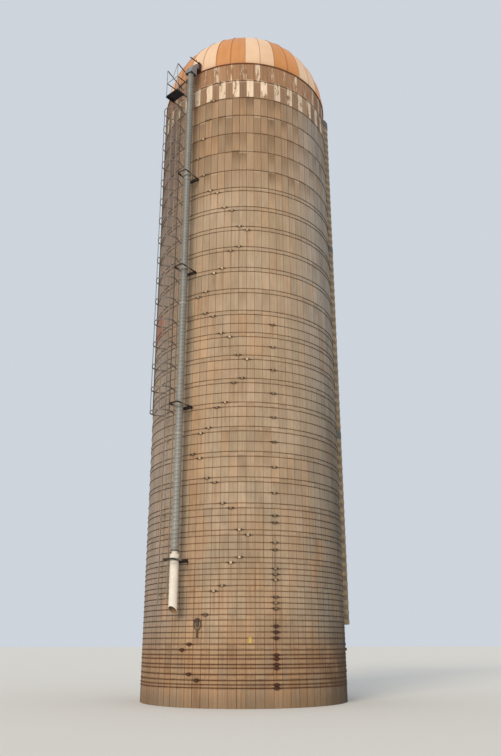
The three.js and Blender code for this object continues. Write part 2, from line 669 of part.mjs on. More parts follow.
function place(name, geometry, material, azimuth) {
  const mesh = new THREE.Mesh(geometry, material);
  mesh.name = name;
  mesh.rotation.z = radians(azimuth);
  silo.add(mesh);
}

place("floor_slab", toGeometry(floorSlab()), floorConcrete, 0);

const segmentAngle = SEGMENT_STAVES * STAVE_ANGLE;
const segmentGeometry = toGeometry(wallSegment(SEGMENT_STAVES, 0, WALL_HEIGHT));
const firstSegmentAzimuth = jointAzimuth(DOOR_FIRST_JOINT + DOOR_STAVES) + segmentAngle / 2;
SEGMENT_NAMES.forEach((name, index) => {
  place(name, segmentGeometry, concrete, firstSegmentAzimuth + index * segmentAngle);
});

const doorAzimuth = jointAzimuth(DOOR_FIRST_JOINT + DOOR_STAVES / 2);
place("wall_over_doors", toGeometry(wallSegment(DOOR_STAVES, DOOR_TOP, WALL_HEIGHT)), concrete, doorAzimuth);
place("door_frame", toGeometry(doorFrame()), darkSteel, doorAzimuth);
place("door_panels", toGeometry(doorPanels()), doorWood, doorAzimuth);

const panelAngle = 360 / DOME_PANELS;
const panelSolid = domePanel();
const panelGeometry = toGeometry(panelSolid);
for (let index = 0; index < DOME_PANELS; index++) {
  const azimuth = (index + 0.5) * panelAngle;
  const name = `dome_panel_${String(index + 1).padStart(2, "0")}`;
  const fromHood = THREE.MathUtils.euclideanModulo(PIPE_AZIMUTH - azimuth + 180, 360) - 180;
  const underHood = Math.abs(fromHood) < panelAngle / 2;
  const opened = underHood && panelSolid.subtract(hoodBore().rotate([0, 0, fromHood]));
  const material = index % 2 === 0 ? creamSheet : orangeSheet;
  place(name, opened ? toGeometry(opened) : panelGeometry, material, azimuth);
}
place("dome_cap", toGeometry(domeCap()), creamSheet, 0);

place("fill_pipe", toGeometry(fillPipe()), galvanised, PIPE_AZIMUTH);
place("pipe_collar", toGeometry(pipeCollar()), whitePipe, PIPE_AZIMUTH);
place("outlet_pipe", toGeometry(outletPipe()), whitePipe, PIPE_AZIMUTH);
place("fill_hood", toGeometry(fillHood()), galvanised, PIPE_AZIMUTH);
place("hood_collar", toGeometry(hoodCollar()), rustySteel, PIPE_AZIMUTH);
place("hood_rod", toGeometry(hoodRod()), rustySteel, PIPE_AZIMUTH);

BRACKET_HEIGHTS.forEach((height, index) => {
  const pipeRadius = height < PIPE_JOINT ? OUTLET_RADIUS : PIPE_RADIUS;
  place(`pipe_bracket_${index + 1}`, toGeometry(pipeBracket(height, pipeRadius)), darkSteel, PIPE_AZIMUTH);
});

place("ladder", toGeometry(ladder()), galvanised, LADDER_AZIMUTH);
place("ladder_cage", toGeometry(ladderCage()), galvanised, LADDER_AZIMUTH);
place("platform", toGeometry(platform()), darkSteel, PLATFORM_AZIMUTH);
place("guard_rail", toGeometry(guardRail()), darkSteel, PLATFORM_AZIMUTH);

place("chute", toGeometry(chute(doorAzimuth)), chuteSheet, doorAzimuth);
place("chute_cap", toGeometry(chuteCap(doorAzimuth)), darkSteel, doorAzimuth);
place("tie_ring", toGeometry(tieRing()), darkSteel, RING_AZIMUTH);

export default silo;
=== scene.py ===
# Concrete stave silo: staves, hoops, dome, pipe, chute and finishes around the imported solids.
# Metres, +Z up. The front faces -Y, and azimuths are degrees from the front towards +X.

import json
import math
import random

import bpy
from mathutils import Matrix, Vector


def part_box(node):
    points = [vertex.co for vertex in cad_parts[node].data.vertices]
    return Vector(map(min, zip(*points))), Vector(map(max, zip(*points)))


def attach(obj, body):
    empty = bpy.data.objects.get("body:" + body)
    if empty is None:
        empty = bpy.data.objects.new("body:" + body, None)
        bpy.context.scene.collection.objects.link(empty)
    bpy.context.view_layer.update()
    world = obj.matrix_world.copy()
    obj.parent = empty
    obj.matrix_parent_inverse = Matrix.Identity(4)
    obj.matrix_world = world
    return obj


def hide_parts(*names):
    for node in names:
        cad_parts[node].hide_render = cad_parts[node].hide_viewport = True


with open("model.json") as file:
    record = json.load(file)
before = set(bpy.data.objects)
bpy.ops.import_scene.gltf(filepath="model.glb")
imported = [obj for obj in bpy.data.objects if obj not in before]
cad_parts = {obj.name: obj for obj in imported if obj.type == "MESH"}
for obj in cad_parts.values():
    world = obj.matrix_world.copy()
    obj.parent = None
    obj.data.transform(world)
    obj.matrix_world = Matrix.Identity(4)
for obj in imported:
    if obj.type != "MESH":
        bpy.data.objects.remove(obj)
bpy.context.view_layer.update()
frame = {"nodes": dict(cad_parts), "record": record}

SEED = 31

# Stave wall
INNER_RADIUS = 3.048
OUTER_RADIUS = 3.1115
STAVES = 78
STAVE_ANGLE = 360 / STAVES
FIRST_JOINT = 1.0
COURSE = 0.762
COURSES = 28
WALL_TOP = COURSES * COURSE
PAINT_FOOT = 26 * COURSE
STAGGER = 0.045
JOINT_GAP = 0.0012
STAVE_EDGE = 0.004
STAVE_DEPTH = 0.026
STAVE_FRONT = OUTER_RADIUS * math.cos(math.pi / STAVES)
STAVE_HALF = OUTER_RADIUS * math.sin(math.pi / STAVES) - JOINT_GAP
CORE_RADIUS = 3.0885
SEGMENT_STAVES = 15
WALL_SEGMENTS = ("wall_back", "wall_back_left", "wall_left", "wall_front", "wall_right")
DOOR_FIRST = 23
DOOR_STAVES = 3

# Staves with an orange tint: columns of them, and single ones as (stave, course)
ORANGE_COLUMNS = {-7: 0.45, -6: 0.35}
ORANGE_COURSES = range(1, 16)
ORANGE_STAVES = {(-1, 14): 0.45, (0, 14): 0.35, (-2, 23): 0.3, (5, 20): 0.25}

# Courses whose staves have dark patches below their upper ends
STAINED_COURSES = range(21, COURSES - 2)

# Hoops, counted in courses down from the foot of the painted band. The extra ones are given
# for a first and last course, each as its share of the way down the course.
HOOP_RADIUS = 0.008
HOOP_SEAT = 0.9 * HOOP_RADIUS
HOOP_PAIR_OFFSET = 0.073
SINGLE_HOOPS = (-1, 0, 1, 2, 3, 4)
PAIRED_HOOPS = range(5, 26)
EXTRA_HOOPS = {
    (11, 18): (0.5,),
    (19, 20): (0.36, 0.62),
    (21, 23): (0.30, 0.50, 0.70),
    (24, 24): (0.265, 0.395, 0.58, 0.70),
    (25, 25): (0.24, 0.35),
}

# Hoop lugs: turning points of their zigzag as (hoop, stave), and the column of the extra hoops
LUG_TURNS = (
    (-6, -4.0), (-2, -7.0), (5, 0.1), (11, -6.4), (17.2, 0.3), (24, -6.6), (31, 0.2), (39, -7.4), (44, -2.5),
)
EXTRA_LUG_STAVE = 3.3
LUGS_ROUND = 3
LUG_SEAT = OUTER_RADIUS - 0.006
LUG_AXIS = LUG_SEAT + 0.03
LUG_DEPTH = 0.05
LUG_HALF_WIDTH = 0.034
LUG_STAGGER = 0.017
LUG_ROD_ANGLE = 2.9
LOW_LUG_HEIGHT = 2.8
NUT_SPAN = (0.036, 0.056)
NUT_RADIUS = 0.017
THREAD_END = 0.09

# Dome
DOME_RADIUS = 3.118
DOME_RISE = 2.95
DOME_BASE = WALL_TOP + 0.028
CROWN_RADIUS = 0.26
CROWN_ANGLE = math.acos(CROWN_RADIUS / DOME_RADIUS)
GORES = 36
GORE_ANGLE = 360 / GORES
GORE_GAP = 0.03
GORE_COLUMNS = (-1.0, -0.96, -0.4, 0.4, 0.96, 1.0)
GORE_STEPS = 30
GORE_SHEET = 0.008
GORE_FLATNESS = 0.0012
CREAM_GORES = [number for number in range(GORES) if number % 4 in (0, 1)]
ORANGE_GORES = [number for number in range(GORES) if number % 4 in (2, 3)]
SEAM_HEIGHT = 0.015
SEAM_DEPTH = 0.004
SEAM_WIDTH = 0.014
EAVE_DROP = 0.016

# Fill pipe
PIPE_AZIMUTH = -34.1
PIPE_OUT = OUTER_RADIUS + 0.4
PIPE_RADIUS = 0.1145
PIPE_WALL = 0.012
PIPE_SIDES = 24
PIPE_BOTTOM = 3.9703
PIPE_TOP = 21.06
RIB_PITCH = 0.1225
RIB_HEIGHT = 0.006
RIB_ROWS = 8
NECK_TOP = 4.085
NECK_RADIUS = 0.086
PIPE_BANDS = (16.53, 11.81, 7.51)
BAND_HALF_HEIGHT = 0.035
BAND_SIDES = 28

# Ladder, cage, platform and pipe brackets
LADDER_AZIMUTH = -45.5
CAGE_OUT = OUTER_RADIUS + 0.48
CAGE_RADIUS = 0.36
CAGE_HOOPS = 16
CAGE_BOTTOM = 8.27
CAGE_TOP = 19.59
CAGE_BAR_HEIGHT = 0.044
CAGE_STRAPS = (-80, -20, 40, 95)
BRACKET_HEIGHTS = (16.68, 13.08, 8.43, 3.828)
BRACKET_HALF_WIDTH = 0.165
BRACKET_END = OUTER_RADIUS + 0.7
BRACKET_WALL_BOLT = 0.03
CLAMP_BOLT_OUT = 0.142
PLATFORM_AZIMUTH = -42.6
GUARD_END = OUTER_RADIUS + 0.765
PLATE_START = OUTER_RADIUS + 0.4
BOLT_RADIUS = 0.012

# Chute and doors. A rib is its points as (share of the band's height, distance outwards).
CHUTE_AZIMUTH = FIRST_JOINT + (DOOR_FIRST + DOOR_STAVES / 2) * STAVE_ANGLE
CHUTE_RADIUS = 0.43
CHUTE_WALL_OUT = math.sqrt(OUTER_RADIUS ** 2 - CHUTE_RADIUS ** 2)
CHUTE_OUT = 3.35
CHUTE_BOTTOM = 2.2
CHUTE_TOP = 22.0
CHUTE_BAND = 0.305
CHUTE_JOINTS = (16.12, 8.6)
CHUTE_BANDS = round((CHUTE_TOP - CHUTE_BOTTOM) / CHUTE_BAND)
CHUTE_PITCH = (CHUTE_TOP - CHUTE_BOTTOM) / CHUTE_BANDS
CHUTE_RIB = ((0.0, 0.001), (0.10, 0.010), (0.18, 0.012), (0.32, 0.012), (0.42, 0.009), (0.52, 0.001))
CHUTE_JOINT_HALF = 0.14
CHUTE_JOINT_LIFT = 0.013
CHUTE_STEPS = 14
FOOT_STRIP = (CHUTE_RADIUS - 0.018, CHUTE_RADIUS + 0.043)
FOOT_BACK = CHUTE_WALL_OUT - 0.02
FOOT_FACE = CHUTE_WALL_OUT + 0.024
DOOR_FACE_INSET = 0.0195
DOOR_THICKNESS = 0.044
BATTEN_DEPTH = 0.014
BOARDS_A_DOOR = 4

# Ring and tag
RING_AZIMUTH = -24.3
RING_HEIGHT = 2.114
CUP_OUT = OUTER_RADIUS + 0.026
CUP_PROFILE = ((0.014, -0.075), (0.045, -0.05), (0.054, 0.02), (0.05, 0.075), (0.03, 0.105), (0.012, 0.118))
CUP_SQUASH = 0.4
CUP_SIDES = 16
TAG_AZIMUTH = 2.97
TAG_HEIGHT = 1.70
TAG_LENGTH = 0.17
TAG_HALF_WIDTH = 0.042
TAG_SHEET = 0.0018
TAG_STEPS = 8

# Camera, fitted to the photograph
CAMERA_PLACE = (0.0, -24.0, 1.6)
CAMERA_PITCH = 0.3498
CAMERA_YAW = 0.0087
CAMERA_ROLL = -0.001
CAMERA_LENS = 34.714
SENSOR = 36.0

# Light
SKY_COLOUR = (0.90, 0.97, 1.06, 1.0)
SKY_STRENGTH = 0.68
SUN_COLOUR = (1.0, 0.88, 0.72)
SUN_STRENGTH = 1.75
SUN_SPREAD = 24
SUN_AZIMUTH = -24
SUN_RISE = 27

# Tones as seen, 0 to 255
WALL_LIGHT = (184, 161, 135)
WALL_DARK = (169, 145, 118)
WALL_HIGH = (159, 130, 101)
# Side tones, partly painted shade: grey to the right, dull to the left
WALL_GREY = (167, 157, 145)
WALL_GREY_LOW = (142, 131, 116)
WALL_LEFT = (138, 119, 110)
WALL_LEFT_LOW = (164, 149, 137)
WALL_FOOT = (166, 131, 97)
WALL_FOOT_DARK = (122, 97, 74)
WALL_ORANGE = (190, 142, 98)
WALL_STAIN = (122, 96, 72)
WALL_PATCH_GREY = (150, 139, 122)
WALL_PATCH_PINK = (183, 148, 117)
PAINT_BROWN = (150, 117, 91)
PAINT_RED_BROWN = (164, 120, 88)
PAINT_WHITE = (222, 199, 172)
JOINT_DARK = (92, 68, 50)
JOINT_RUST = (92, 60, 38)
RUST_AND_SHADE_DULL = (106, 80, 56)
RUST_AND_SHADE_DARK = (96, 60, 34)
RUST_DRIP = (112, 70, 42)
RUST_RUN = (148, 110, 76)
SPLASH = (116, 100, 80)
SMEAR_RED = (156, 84, 66)
SEAM_DIRT_AND_SHADE = (120, 86, 60)
HOOP_PALE = (148, 108, 68)
HOOP_BROWN = (112, 80, 54)
HOOP_RUST = (84, 52, 30)
HOOP_SHADED = (56, 42, 32)
LUG_DARK = (88, 66, 48)
LUG_PALE = (214, 192, 156)
LUG_RUST = (74, 42, 26)

# Metals: main and worn tone, tone of the spots, roughness, metallic share, share of spots, and scale
METALS = {
    "galvanised": ((146, 144, 146), (124, 122, 124), (108, 88, 76), 0.5, 0.2, 0.25, 7.0),
    "ladder_cage": ((126, 117, 107), (100, 92, 84), (92, 70, 54), 0.6, 0.1, 0.3, 7.0),
    "ladder": ((170, 155, 137), (148, 134, 119), (130, 104, 82), 0.6, 0.05, 0.25, 7.0),
    "platform": ((146, 124, 102), (112, 94, 78), (60, 48, 40), 0.75, 0.1, 0.1, 9.0),
    "guard_rail": ((84, 78, 75), (62, 57, 55), (92, 66, 48), 0.6, 0.15, 0.2, 9.0),
    "pipe_bracket": ((58, 46, 38), (40, 33, 29), (84, 56, 40), 0.65, 0.2, 0.3, 9.0),
    "white_pipe": ((240, 230, 214), (222, 212, 194), (178, 146, 110), 0.5, 0.0, 0.25, 9.0),
    "band_steel": ((164, 160, 150), (146, 143, 134), (128, 110, 88), 0.45, 0.2, 0.3, 9.0),
    "dark_steel": ((58, 50, 45), (42, 37, 34), (84, 56, 40), 0.65, 0.2, 0.5, 9.0),
    "chute_cap": ((112, 112, 108), (72, 70, 66), (60, 54, 48), 0.5, 0.2, 0.5, 5.0),
    "tie_ring": ((98, 78, 58), (78, 62, 48), (110, 72, 46), 0.75, 0.1, 0.5, 12.0),
    "cup_sheet": ((104, 98, 84), (80, 72, 60), (70, 54, 42), 0.7, 0.1, 0.5, 14.0),
    "rusty_steel": ((84, 50, 42), (64, 40, 36), (112, 66, 44), 0.8, 0.1, 0.6, 9.0),
    "yellow_plastic": ((206, 176, 74), (192, 162, 92), (168, 134, 76), 0.45, 0.0, 0.4, 20.0),
}

dice = random.Random(SEED)
JOINT_WEAR = [dice.random() for _ in range(STAVES)]


# Places and meshes

def spot(azimuth, out, up, across=0.0):
    angle = math.radians(azimuth)
    return Vector((
        out * math.sin(angle) + across * math.cos(angle),
        across * math.sin(angle) - out * math.cos(angle),
        up,
    ))


def ends(azimuth, out, up, across=0.0):
    """Both ends of a rod, where each measure is one number or a pair."""
    pairs = [value if isinstance(value, tuple) else (value, value) for value in (azimuth, out, up, across)]
    return [spot(*place) for place in zip(*pairs)]


def joint_azimuth(index):
    return FIRST_JOINT + index * STAVE_ANGLE


PIPE_CENTRE = spot(PIPE_AZIMUTH, PIPE_OUT, 0.0)


def pipe_ring(height, radii):
    """Points round the axis of the fill pipe, one for each radius."""
    points = []
    for side, radius in enumerate(radii):
        turn = 2 * math.pi * side / len(radii)
        points.append(PIPE_CENTRE + Vector((radius * math.cos(turn), radius * math.sin(turn), height)))
    return points


class Build:
    """Closed forms gathered into one mesh, with values carried by its points."""

    def __init__(self):
        self.points = []
        self.faces = []
        self.values = {}

    def grid(self, rows, along=False, **values):
        """
        Rows of points joined round each row, capped, or joined along from the last row to the first.
        A value that other forms have and this one doesn't is 0 on it.
        """
        start = len(self.points)
        width = len(rows[0])
        for row in range(len(rows) if along else len(rows) - 1):
            below = start + row * width
            above = start + (row + 1) % len(rows) * width
            for column in range(width):
                right = (column + 1) % width
                self.faces.append([below + column, below + right, above + right, above + column])
        if not along:
            last = start + (len(rows) - 1) * width
            self.faces.append(list(reversed(range(start, start + width))))
            self.faces.append(list(range(last, last + width)))
        for row in rows:
            self.points.extend(row)
        for name in {**self.values, **values}:
            value = values.get(name, 0.0)
            column = value if isinstance(value, list) else [value] * (len(self.points) - start)
            self.values.setdefault(name, [0.0] * start).extend(column)

    def rod(self, places, radius, sides=8, **values):
        start, end = places
        axis = (end - start).normalized()
        side = axis.orthogonal().normalized()
        other = axis.cross(side)
        turns = [2 * math.pi * step / sides for step in range(sides)]
        arms = [radius * (math.cos(turn) * side + math.sin(turn) * other) for turn in turns]
        self.grid([[centre + arm for arm in arms] for centre in places], **values)

    def slab(self, azimuth, span, out, up, edge, taper=1.0, **values):
        """A block in the frame of an azimuth: its back is narrower by the taper, its face's edges are cut."""
        rows = []
        for distance, inset, share in ((out[0], 0.0, taper), (out[1] - edge, 0.0, 1.0), (out[1], edge, 1.0)):
            left, right = (span[0] + inset) * share, (span[1] - inset) * share
            low, high = up[0] + inset, up[1] - inset
            corners = ((low, left), (low, right), (high, right), (high, left))
            rows.append([spot(azimuth, distance, *corner) for corner in corners])
        self.grid(rows, **values)

    def piece(self, name, slot, finish=None, replaces=(), smooth=None):
        mesh = bpy.data.meshes.new(name)
        mesh.from_pydata([tuple(point) for point in self.points], [], self.faces)
        for key, column in self.values.items():
            mesh.attributes.new(key, "FLOAT", "POINT").data.foreach_set("value", column)
        mesh.materials.append(FINISHES[finish or slot])
        if smooth is not None:
            mesh.shade_smooth()
            mesh.set_sharp_from_angle(angle=math.radians(smooth))
        obj = bpy.data.objects.new(name, mesh)
        bpy.context.scene.collection.objects.link(obj)
        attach(obj, "root")
        if replaces:
            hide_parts(*replaces)


# Finishes

def tint(red, green, blue):
    """A tone as seen, 0 to 255, as the linear colour that the nodes take."""
    linear = []
    for channel in (red, green, blue):
        share = channel / 255
        linear.append(share / 12.92 if share <= 0.04045 else ((share + 0.055) / 1.055) ** 2.4)
    return (*linear, 1.0)


class Surface:
    """A node material round its shader, with short calls for the nodes that feed it."""

    def __init__(self, name, roughness=0.6, metallic=0.0, specular=0.5):
        self.material = bpy.data.materials.new(name)
        self.material.use_nodes = True
        self.nodes = self.material.node_tree.nodes
        self.links = self.material.node_tree.links
        self.shader = self.nodes["Principled BSDF"]
        looks = {"Roughness": roughness, "Metallic": metallic, "Specular IOR Level": specular}
        for key, value in looks.items():
            self.shader.inputs[key].default_value = value
        self.place = self.add("TexCoord", {}, "Object")
        self.x, self.y, self.z = self.add("SeparateXYZ", {0: self.place}).node.outputs
        self.azimuth = self.math("ARCTAN2", self.x, self.math("MULTIPLY", self.y, -1.0))
        self.aside = self.math("ABSOLUTE", self.azimuth)

    def feed(self, socket, value):
        """Links another socket to this one, or sets its number, vector or tone."""
        if isinstance(value, bpy.types.NodeSocket):
            self.links.new(value, socket)
        else:
            socket.default_value = tint(*value) if socket.type == "RGBA" else value

    def add(self, kind, inputs, output=0, **settings):
        node = self.nodes.new("ShaderNode" + kind)
        for key, value in settings.items():
            setattr(node, key, value)
        for key, value in inputs.items():
            self.feed(node.inputs[key], value)
        return node.outputs[output]

    def math(self, operation, a, b=0.0, c=0.0):
        return self.add("Math", {0: a, 1: b, 2: c}, operation=operation)

    def vector(self, operation, a, b=(0.0, 0.0, 0.0), output=0):
        return self.add("VectorMath", {0: a, 1: b}, output, operation=operation)

    def less(self, a, b):
        return self.math("SUBTRACT", a, b)

    def apart(self, a, b):
        return self.math("ABSOLUTE", self.less(a, b))

    def chain(self, operation, values):
        result = values[0]
        for value in values[1:]:
            result = self.math(operation, result, value)
        return result

    def total(self, *values):
        return self.chain("ADD", values)

    def product(self, *values):
        return self.chain("MULTIPLY", values)

    def rise(self, value, low, high):
        """From 0 at low to 1 at high, smoothly; low may be the larger."""
        inputs = {"Value": value, "From Min": low, "From Max": high}
        return self.add("MapRange", inputs, interpolation_type="SMOOTHSTEP")

    def up(self, low, high):
        return self.rise(self.z, low, high)

    def around(self, low, high):
        return self.rise(self.azimuth, low, high)

    def spread(self, value, low, high):
        """Noise about a half stretched to between two values."""
        inputs = {"Value": value, "From Min": 0.3, "From Max": 0.7, "To Min": low, "To Max": high}
        return self.add("MapRange", inputs, interpolation_type="LINEAR")

    def mix(self, share, first, second):
        inputs = {0: share, 6: first, 7: second}
        return self.add("Mix", inputs, 2, data_type="RGBA")

    def layers(self, colour, *pairs):
        """Tones laid over a colour in turn, each by its share."""
        for share, tone in pairs:
            colour = self.mix(share, colour, tone)
        return colour

    def blend(self, noise, first, second):
        return self.mix(self.spread(noise, 0.0, 1.0), first, second)

    def lit(self, colour, *changes):
        """A colour made lighter or darker by shares of itself."""
        colour = colour if isinstance(colour, bpy.types.NodeSocket) else tint(*colour)[:3]
        return self.add("VectorMath", {0: colour, "Scale": self.total(1.0, *changes)}, operation="SCALE")

    def join(self, x, y, z):
        return self.add("CombineXYZ", {0: x, 1: y, 2: z})

    def noise(self, scale, detail=3.0, roughness=0.6, vector=None):
        """Noise about a half. Three scales stretch it along X, Y and Z."""
        vector = vector or self.place
        if isinstance(scale, tuple):
            vector = self.vector("MULTIPLY", vector, scale)
            scale = 1.0
        inputs = {"Vector": vector, "Scale": scale, "Detail": detail, "Roughness": roughness}
        return self.add("TexNoise", inputs)

    def value(self, name):
        """One of the values that the points carry."""
        return self.add("Attribute", {}, output=2, attribute_name=name)

    def from_pipe(self, low, high):
        """By the distance from the axis of the fill pipe."""
        flat = self.vector("MULTIPLY", self.vector("SUBTRACT", self.place, PIPE_CENTRE), (1.0, 1.0, 0.0))
        return self.rise(self.vector("LENGTH", flat, output="Value"), low, high)

    def outwards(self, low, high):
        """By the distance from the silo's axis in the direction of the platform."""
        way = spot(PLATFORM_AZIMUTH, 1.0, 0.0)
        return self.rise(self.vector("DOT_PRODUCT", self.place, way, "Value"), low, high)

    def finish(self, colour, height=None, strength=0.4, distance=0.002, roughness=None):
        self.feed(self.shader.inputs["Base Color"], colour)
        if roughness is not None:
            self.feed(self.shader.inputs["Roughness"], roughness)
        if height is not None:
            inputs = {"Strength": strength, "Distance": distance, "Height": height}
            self.links.new(self.add("Bump", inputs), self.shader.inputs["Normal"])
        return self.material


def bare_concrete(s, high, clouds, streaks, blotches):
    """Browner at the top and foot, with stains; greyer to the right and duller to the left, partly weathering
    and partly painted shade.
    """
    near = s.rise(s.aside, 2.9, 2.2)
    right = s.product(s.around(0.35, 1.05), near)
    left = s.product(s.around(-0.6, -1.0), near)
    mottle = s.noise((1.3, 1.3, 0.9))
    lower = s.product(s.up(10.0, 4.0), 0.38)
    upper_end = s.rise(s.value("high"), 0.65, 0.0)
    runs = s.noise((9.0, 9.0, 0.35), 3.0, 0.65)
    return s.layers(
        s.blend(clouds, WALL_LIGHT, WALL_DARK),
        (high, WALL_HIGH),
        # Partly painted shade: a grey tint to the right and a dull tint to the left, the sides away from the
        # light
        (s.product(right, 0.9), s.mix(s.up(12.0, 7.0), WALL_GREY, WALL_GREY_LOW)),
        (s.product(left, 0.85), s.mix(s.up(8.0, 17.0), WALL_LEFT_LOW, WALL_LEFT)),
        (s.product(s.up(2.4, 1.0), s.spread(clouds, 0.6, 1.0)), s.mix(right, WALL_FOOT, WALL_FOOT_DARK)),
        (s.product(s.rise(mottle, 0.49, 0.60), lower), WALL_PATCH_GREY),
        (s.product(s.rise(mottle, 0.44, 0.34), lower), WALL_PATCH_PINK),
        (s.product(s.value("warm"), s.spread(streaks, 0.35, 1.1)), WALL_ORANGE),
        (s.product(s.value("stain"), upper_end, s.spread(streaks, 0.2, 1.3)), WALL_STAIN),
        (s.product(s.rise(runs, 0.52, 0.68), s.up(9.0, 1.5), 0.45), RUST_RUN),
        (s.product(s.up(0.55, 0.1), s.spread(blotches, 0.3, 0.7)), SPLASH),
    )


def painted_side_shade(s):
    """Painted shade: the wall darker towards both sides where the light falls off, more so low on the right
    and high on the left.
    """
    beside = s.rise(s.aside, 2.2, 1.4)
    right_shade = s.product(beside, s.around(0.78, 1.15))
    low_right_shade = s.product(beside, s.around(1.0, 1.3), s.up(11.0, 1.5))
    depth = s.total(0.14, s.product(s.up(14.5, 19.5), 0.2))
    left_shade = s.product(beside, s.around(-0.72, -1.02), depth)
    return s.total(s.product(right_shade, -0.22), s.product(low_right_shade, -0.26), s.product(left_shade, -1.0))


def worn_paint(s, colour, change, shifted, blotches):
    """Paint of the two top courses, worn to streaks, and pale strips along the tops of some staves."""
    wear = s.noise((24.0, 24.0, 1.6), vector=shifted)
    upper = s.up(PAINT_FOOT + COURSE - 0.1, PAINT_FOOT + COURSE + 0.1)
    brown = s.product(s.value("brown"), s.spread(wear, 0.95, 0.55))
    white = s.value("white")
    kept = s.total(s.spread(wear, 0.0, 1.0), s.product(s.value("across"), 0.22))
    shown = s.rise(s.less(kept, s.less(1.0, white)), -0.11, 0.11)
    shown = s.product(shown, s.rise(blotches, 0.36, 0.44), s.rise(white, 0.0, 0.05))
    strip = s.product(s.value("strip"), s.rise(s.value("high"), 0.03, 0.02))
    return s.layers(
        colour,
        (brown, s.lit(s.mix(upper, PAINT_BROWN, PAINT_RED_BROWN), change)),
        (shown, s.lit(PAINT_WHITE, change)),
        (s.product(strip, s.spread(blotches, 0.3, 1.0)), PAINT_WHITE),
    )


def hoop_rust_and_shade(s, blotches):
    """Rust stain and painted shade on the wall beside the hoops; the rust grows towards the ground."""
    down = s.math("DIVIDE", s.less(PAINT_FOOT, s.z), COURSE)
    course = s.math("FLOOR", down)
    share = s.math("FRACT", down)
    to_line = s.product(s.apart(share, s.math("ROUND", share)), COURSE)
    paired = s.math("GREATER_THAN", down, 4.5)
    from_hoop = s.apart(to_line, s.product(paired, HOOP_PAIR_OFFSET))
    reach = s.total(0.026, s.product(s.up(3.0, 1.2), s.spread(blotches, 0.0, 0.04)))
    # Band along each hoop: rust stain and painted shade below the rod
    stain = s.product(s.rise(from_hoop, reach, 0.008), s.up(0.3, 0.4))
    for (first, last), fractions in EXTRA_HOOPS.items():
        within = s.math("COMPARE", course, (first + last) / 2, (last - first) / 2 + 0.25)
        for fraction in fractions:
            offset = s.product(s.apart(share, fraction), COURSE)
            stain = s.math("MAXIMUM", stain, s.product(within, s.rise(offset, reach, 0.008)))
    rusty = s.total(0.10, s.product(s.up(9.0, 1.0), 0.15), s.product(s.up(2.0, 1.0), 0.25))
    return s.product(stain, rusty, s.spread(blotches, 0.5, 1.2))


def rust_line(s, streaks):
    """Rust line that joins the lowest lugs of the extra hoops."""
    from_line = s.apart(s.azimuth, math.radians(joint_azimuth(EXTRA_LUG_STAVE)))
    ends_at = s.product(s.up(6.5, 2.0), s.up(0.5, 0.9))
    return s.product(s.rise(from_line, 0.012, 0.004), ends_at, s.spread(streaks, 0.1, 0.9))


def lug_drips(s, streaks):
    beside = s.apart(s.value("across"), s.value("drip_at"))
    below = s.less(s.value("drip_top"), s.z)
    along = s.product(s.rise(below, -0.02, 0.03), s.rise(below, 1.1, 0.1))
    return s.product(s.value("drip"), s.rise(beside, 0.42, 0.05), along, s.spread(streaks, 0.3, 1.0))


def red_smear(s, streaks, blotches):
    """Red smear far round on the left side."""
    around = s.product(s.around(-1.0, -1.12), s.around(-1.45, -1.3))
    up = s.product(s.up(12.26, 12.1), s.up(11.1, 11.4))
    return s.product(around, up, s.rise(blotches, 0.32, 0.55), s.spread(streaks, 0.35, 0.95))


def wall_finish():
    s = Surface("stave_concrete", roughness=0.93, specular=0.2)
    tone = s.value("tone")
    shift = s.join(0.0, 0.0, s.product(tone, 5.0))
    shifted = s.vector("ADD", s.place, shift)
    streaks = s.noise((16.0, 16.0, 0.8), vector=shifted)
    blotches = s.noise((5.0, 5.0, 2.4), vector=shifted)
    clouds = s.noise((0.7, 0.7, 0.45), 2.0, 0.5)
    grain = s.noise(85.0, 2.0, 0.7)
    high = s.product(s.up(15.0, 18.0), s.spread(blotches, 0.5, 1.0))
    change = s.total(
        painted_side_shade(s),
        s.product(tone, s.total(0.06, s.product(high, 0.05))),
        s.spread(streaks, -0.10, 0.10),
        s.spread(blotches, -0.08, 0.08),
        s.spread(grain, -0.06, 0.06),
    )
    colour = s.lit(bare_concrete(s, high, clouds, streaks, blotches), change)

    # The last layers: smear, dark joints, the faint line down the middle of each stave, rust stain with
    # painted shade along the hoops, and rust drips
    across = s.math("ABSOLUTE", s.value("across"))
    joint = s.product(s.rise(across, 0.88, 0.99), s.value("seam"), s.spread(blotches, 0.4, 1.0))
    colour = s.layers(
        worn_paint(s, colour, change, shifted, blotches),
        (red_smear(s, streaks, blotches), SMEAR_RED),
        (joint, s.mix(s.up(4.6, 0.4), JOINT_DARK, JOINT_RUST)),
        (s.product(s.rise(across, 0.11, 0.02), s.spread(blotches, 0.05, 0.25)), JOINT_DARK),
        (hoop_rust_and_shade(s, blotches), s.mix(s.up(8.0, 2.0), RUST_AND_SHADE_DULL, RUST_AND_SHADE_DARK)),
        (rust_line(s, streaks), RUST_DRIP),
        (lug_drips(s, streaks), RUST_DRIP),
    )
    height = s.total(s.product(grain, 0.6), s.product(blotches, 0.4))
    return s.finish(colour, height, strength=0.5, distance=0.004)


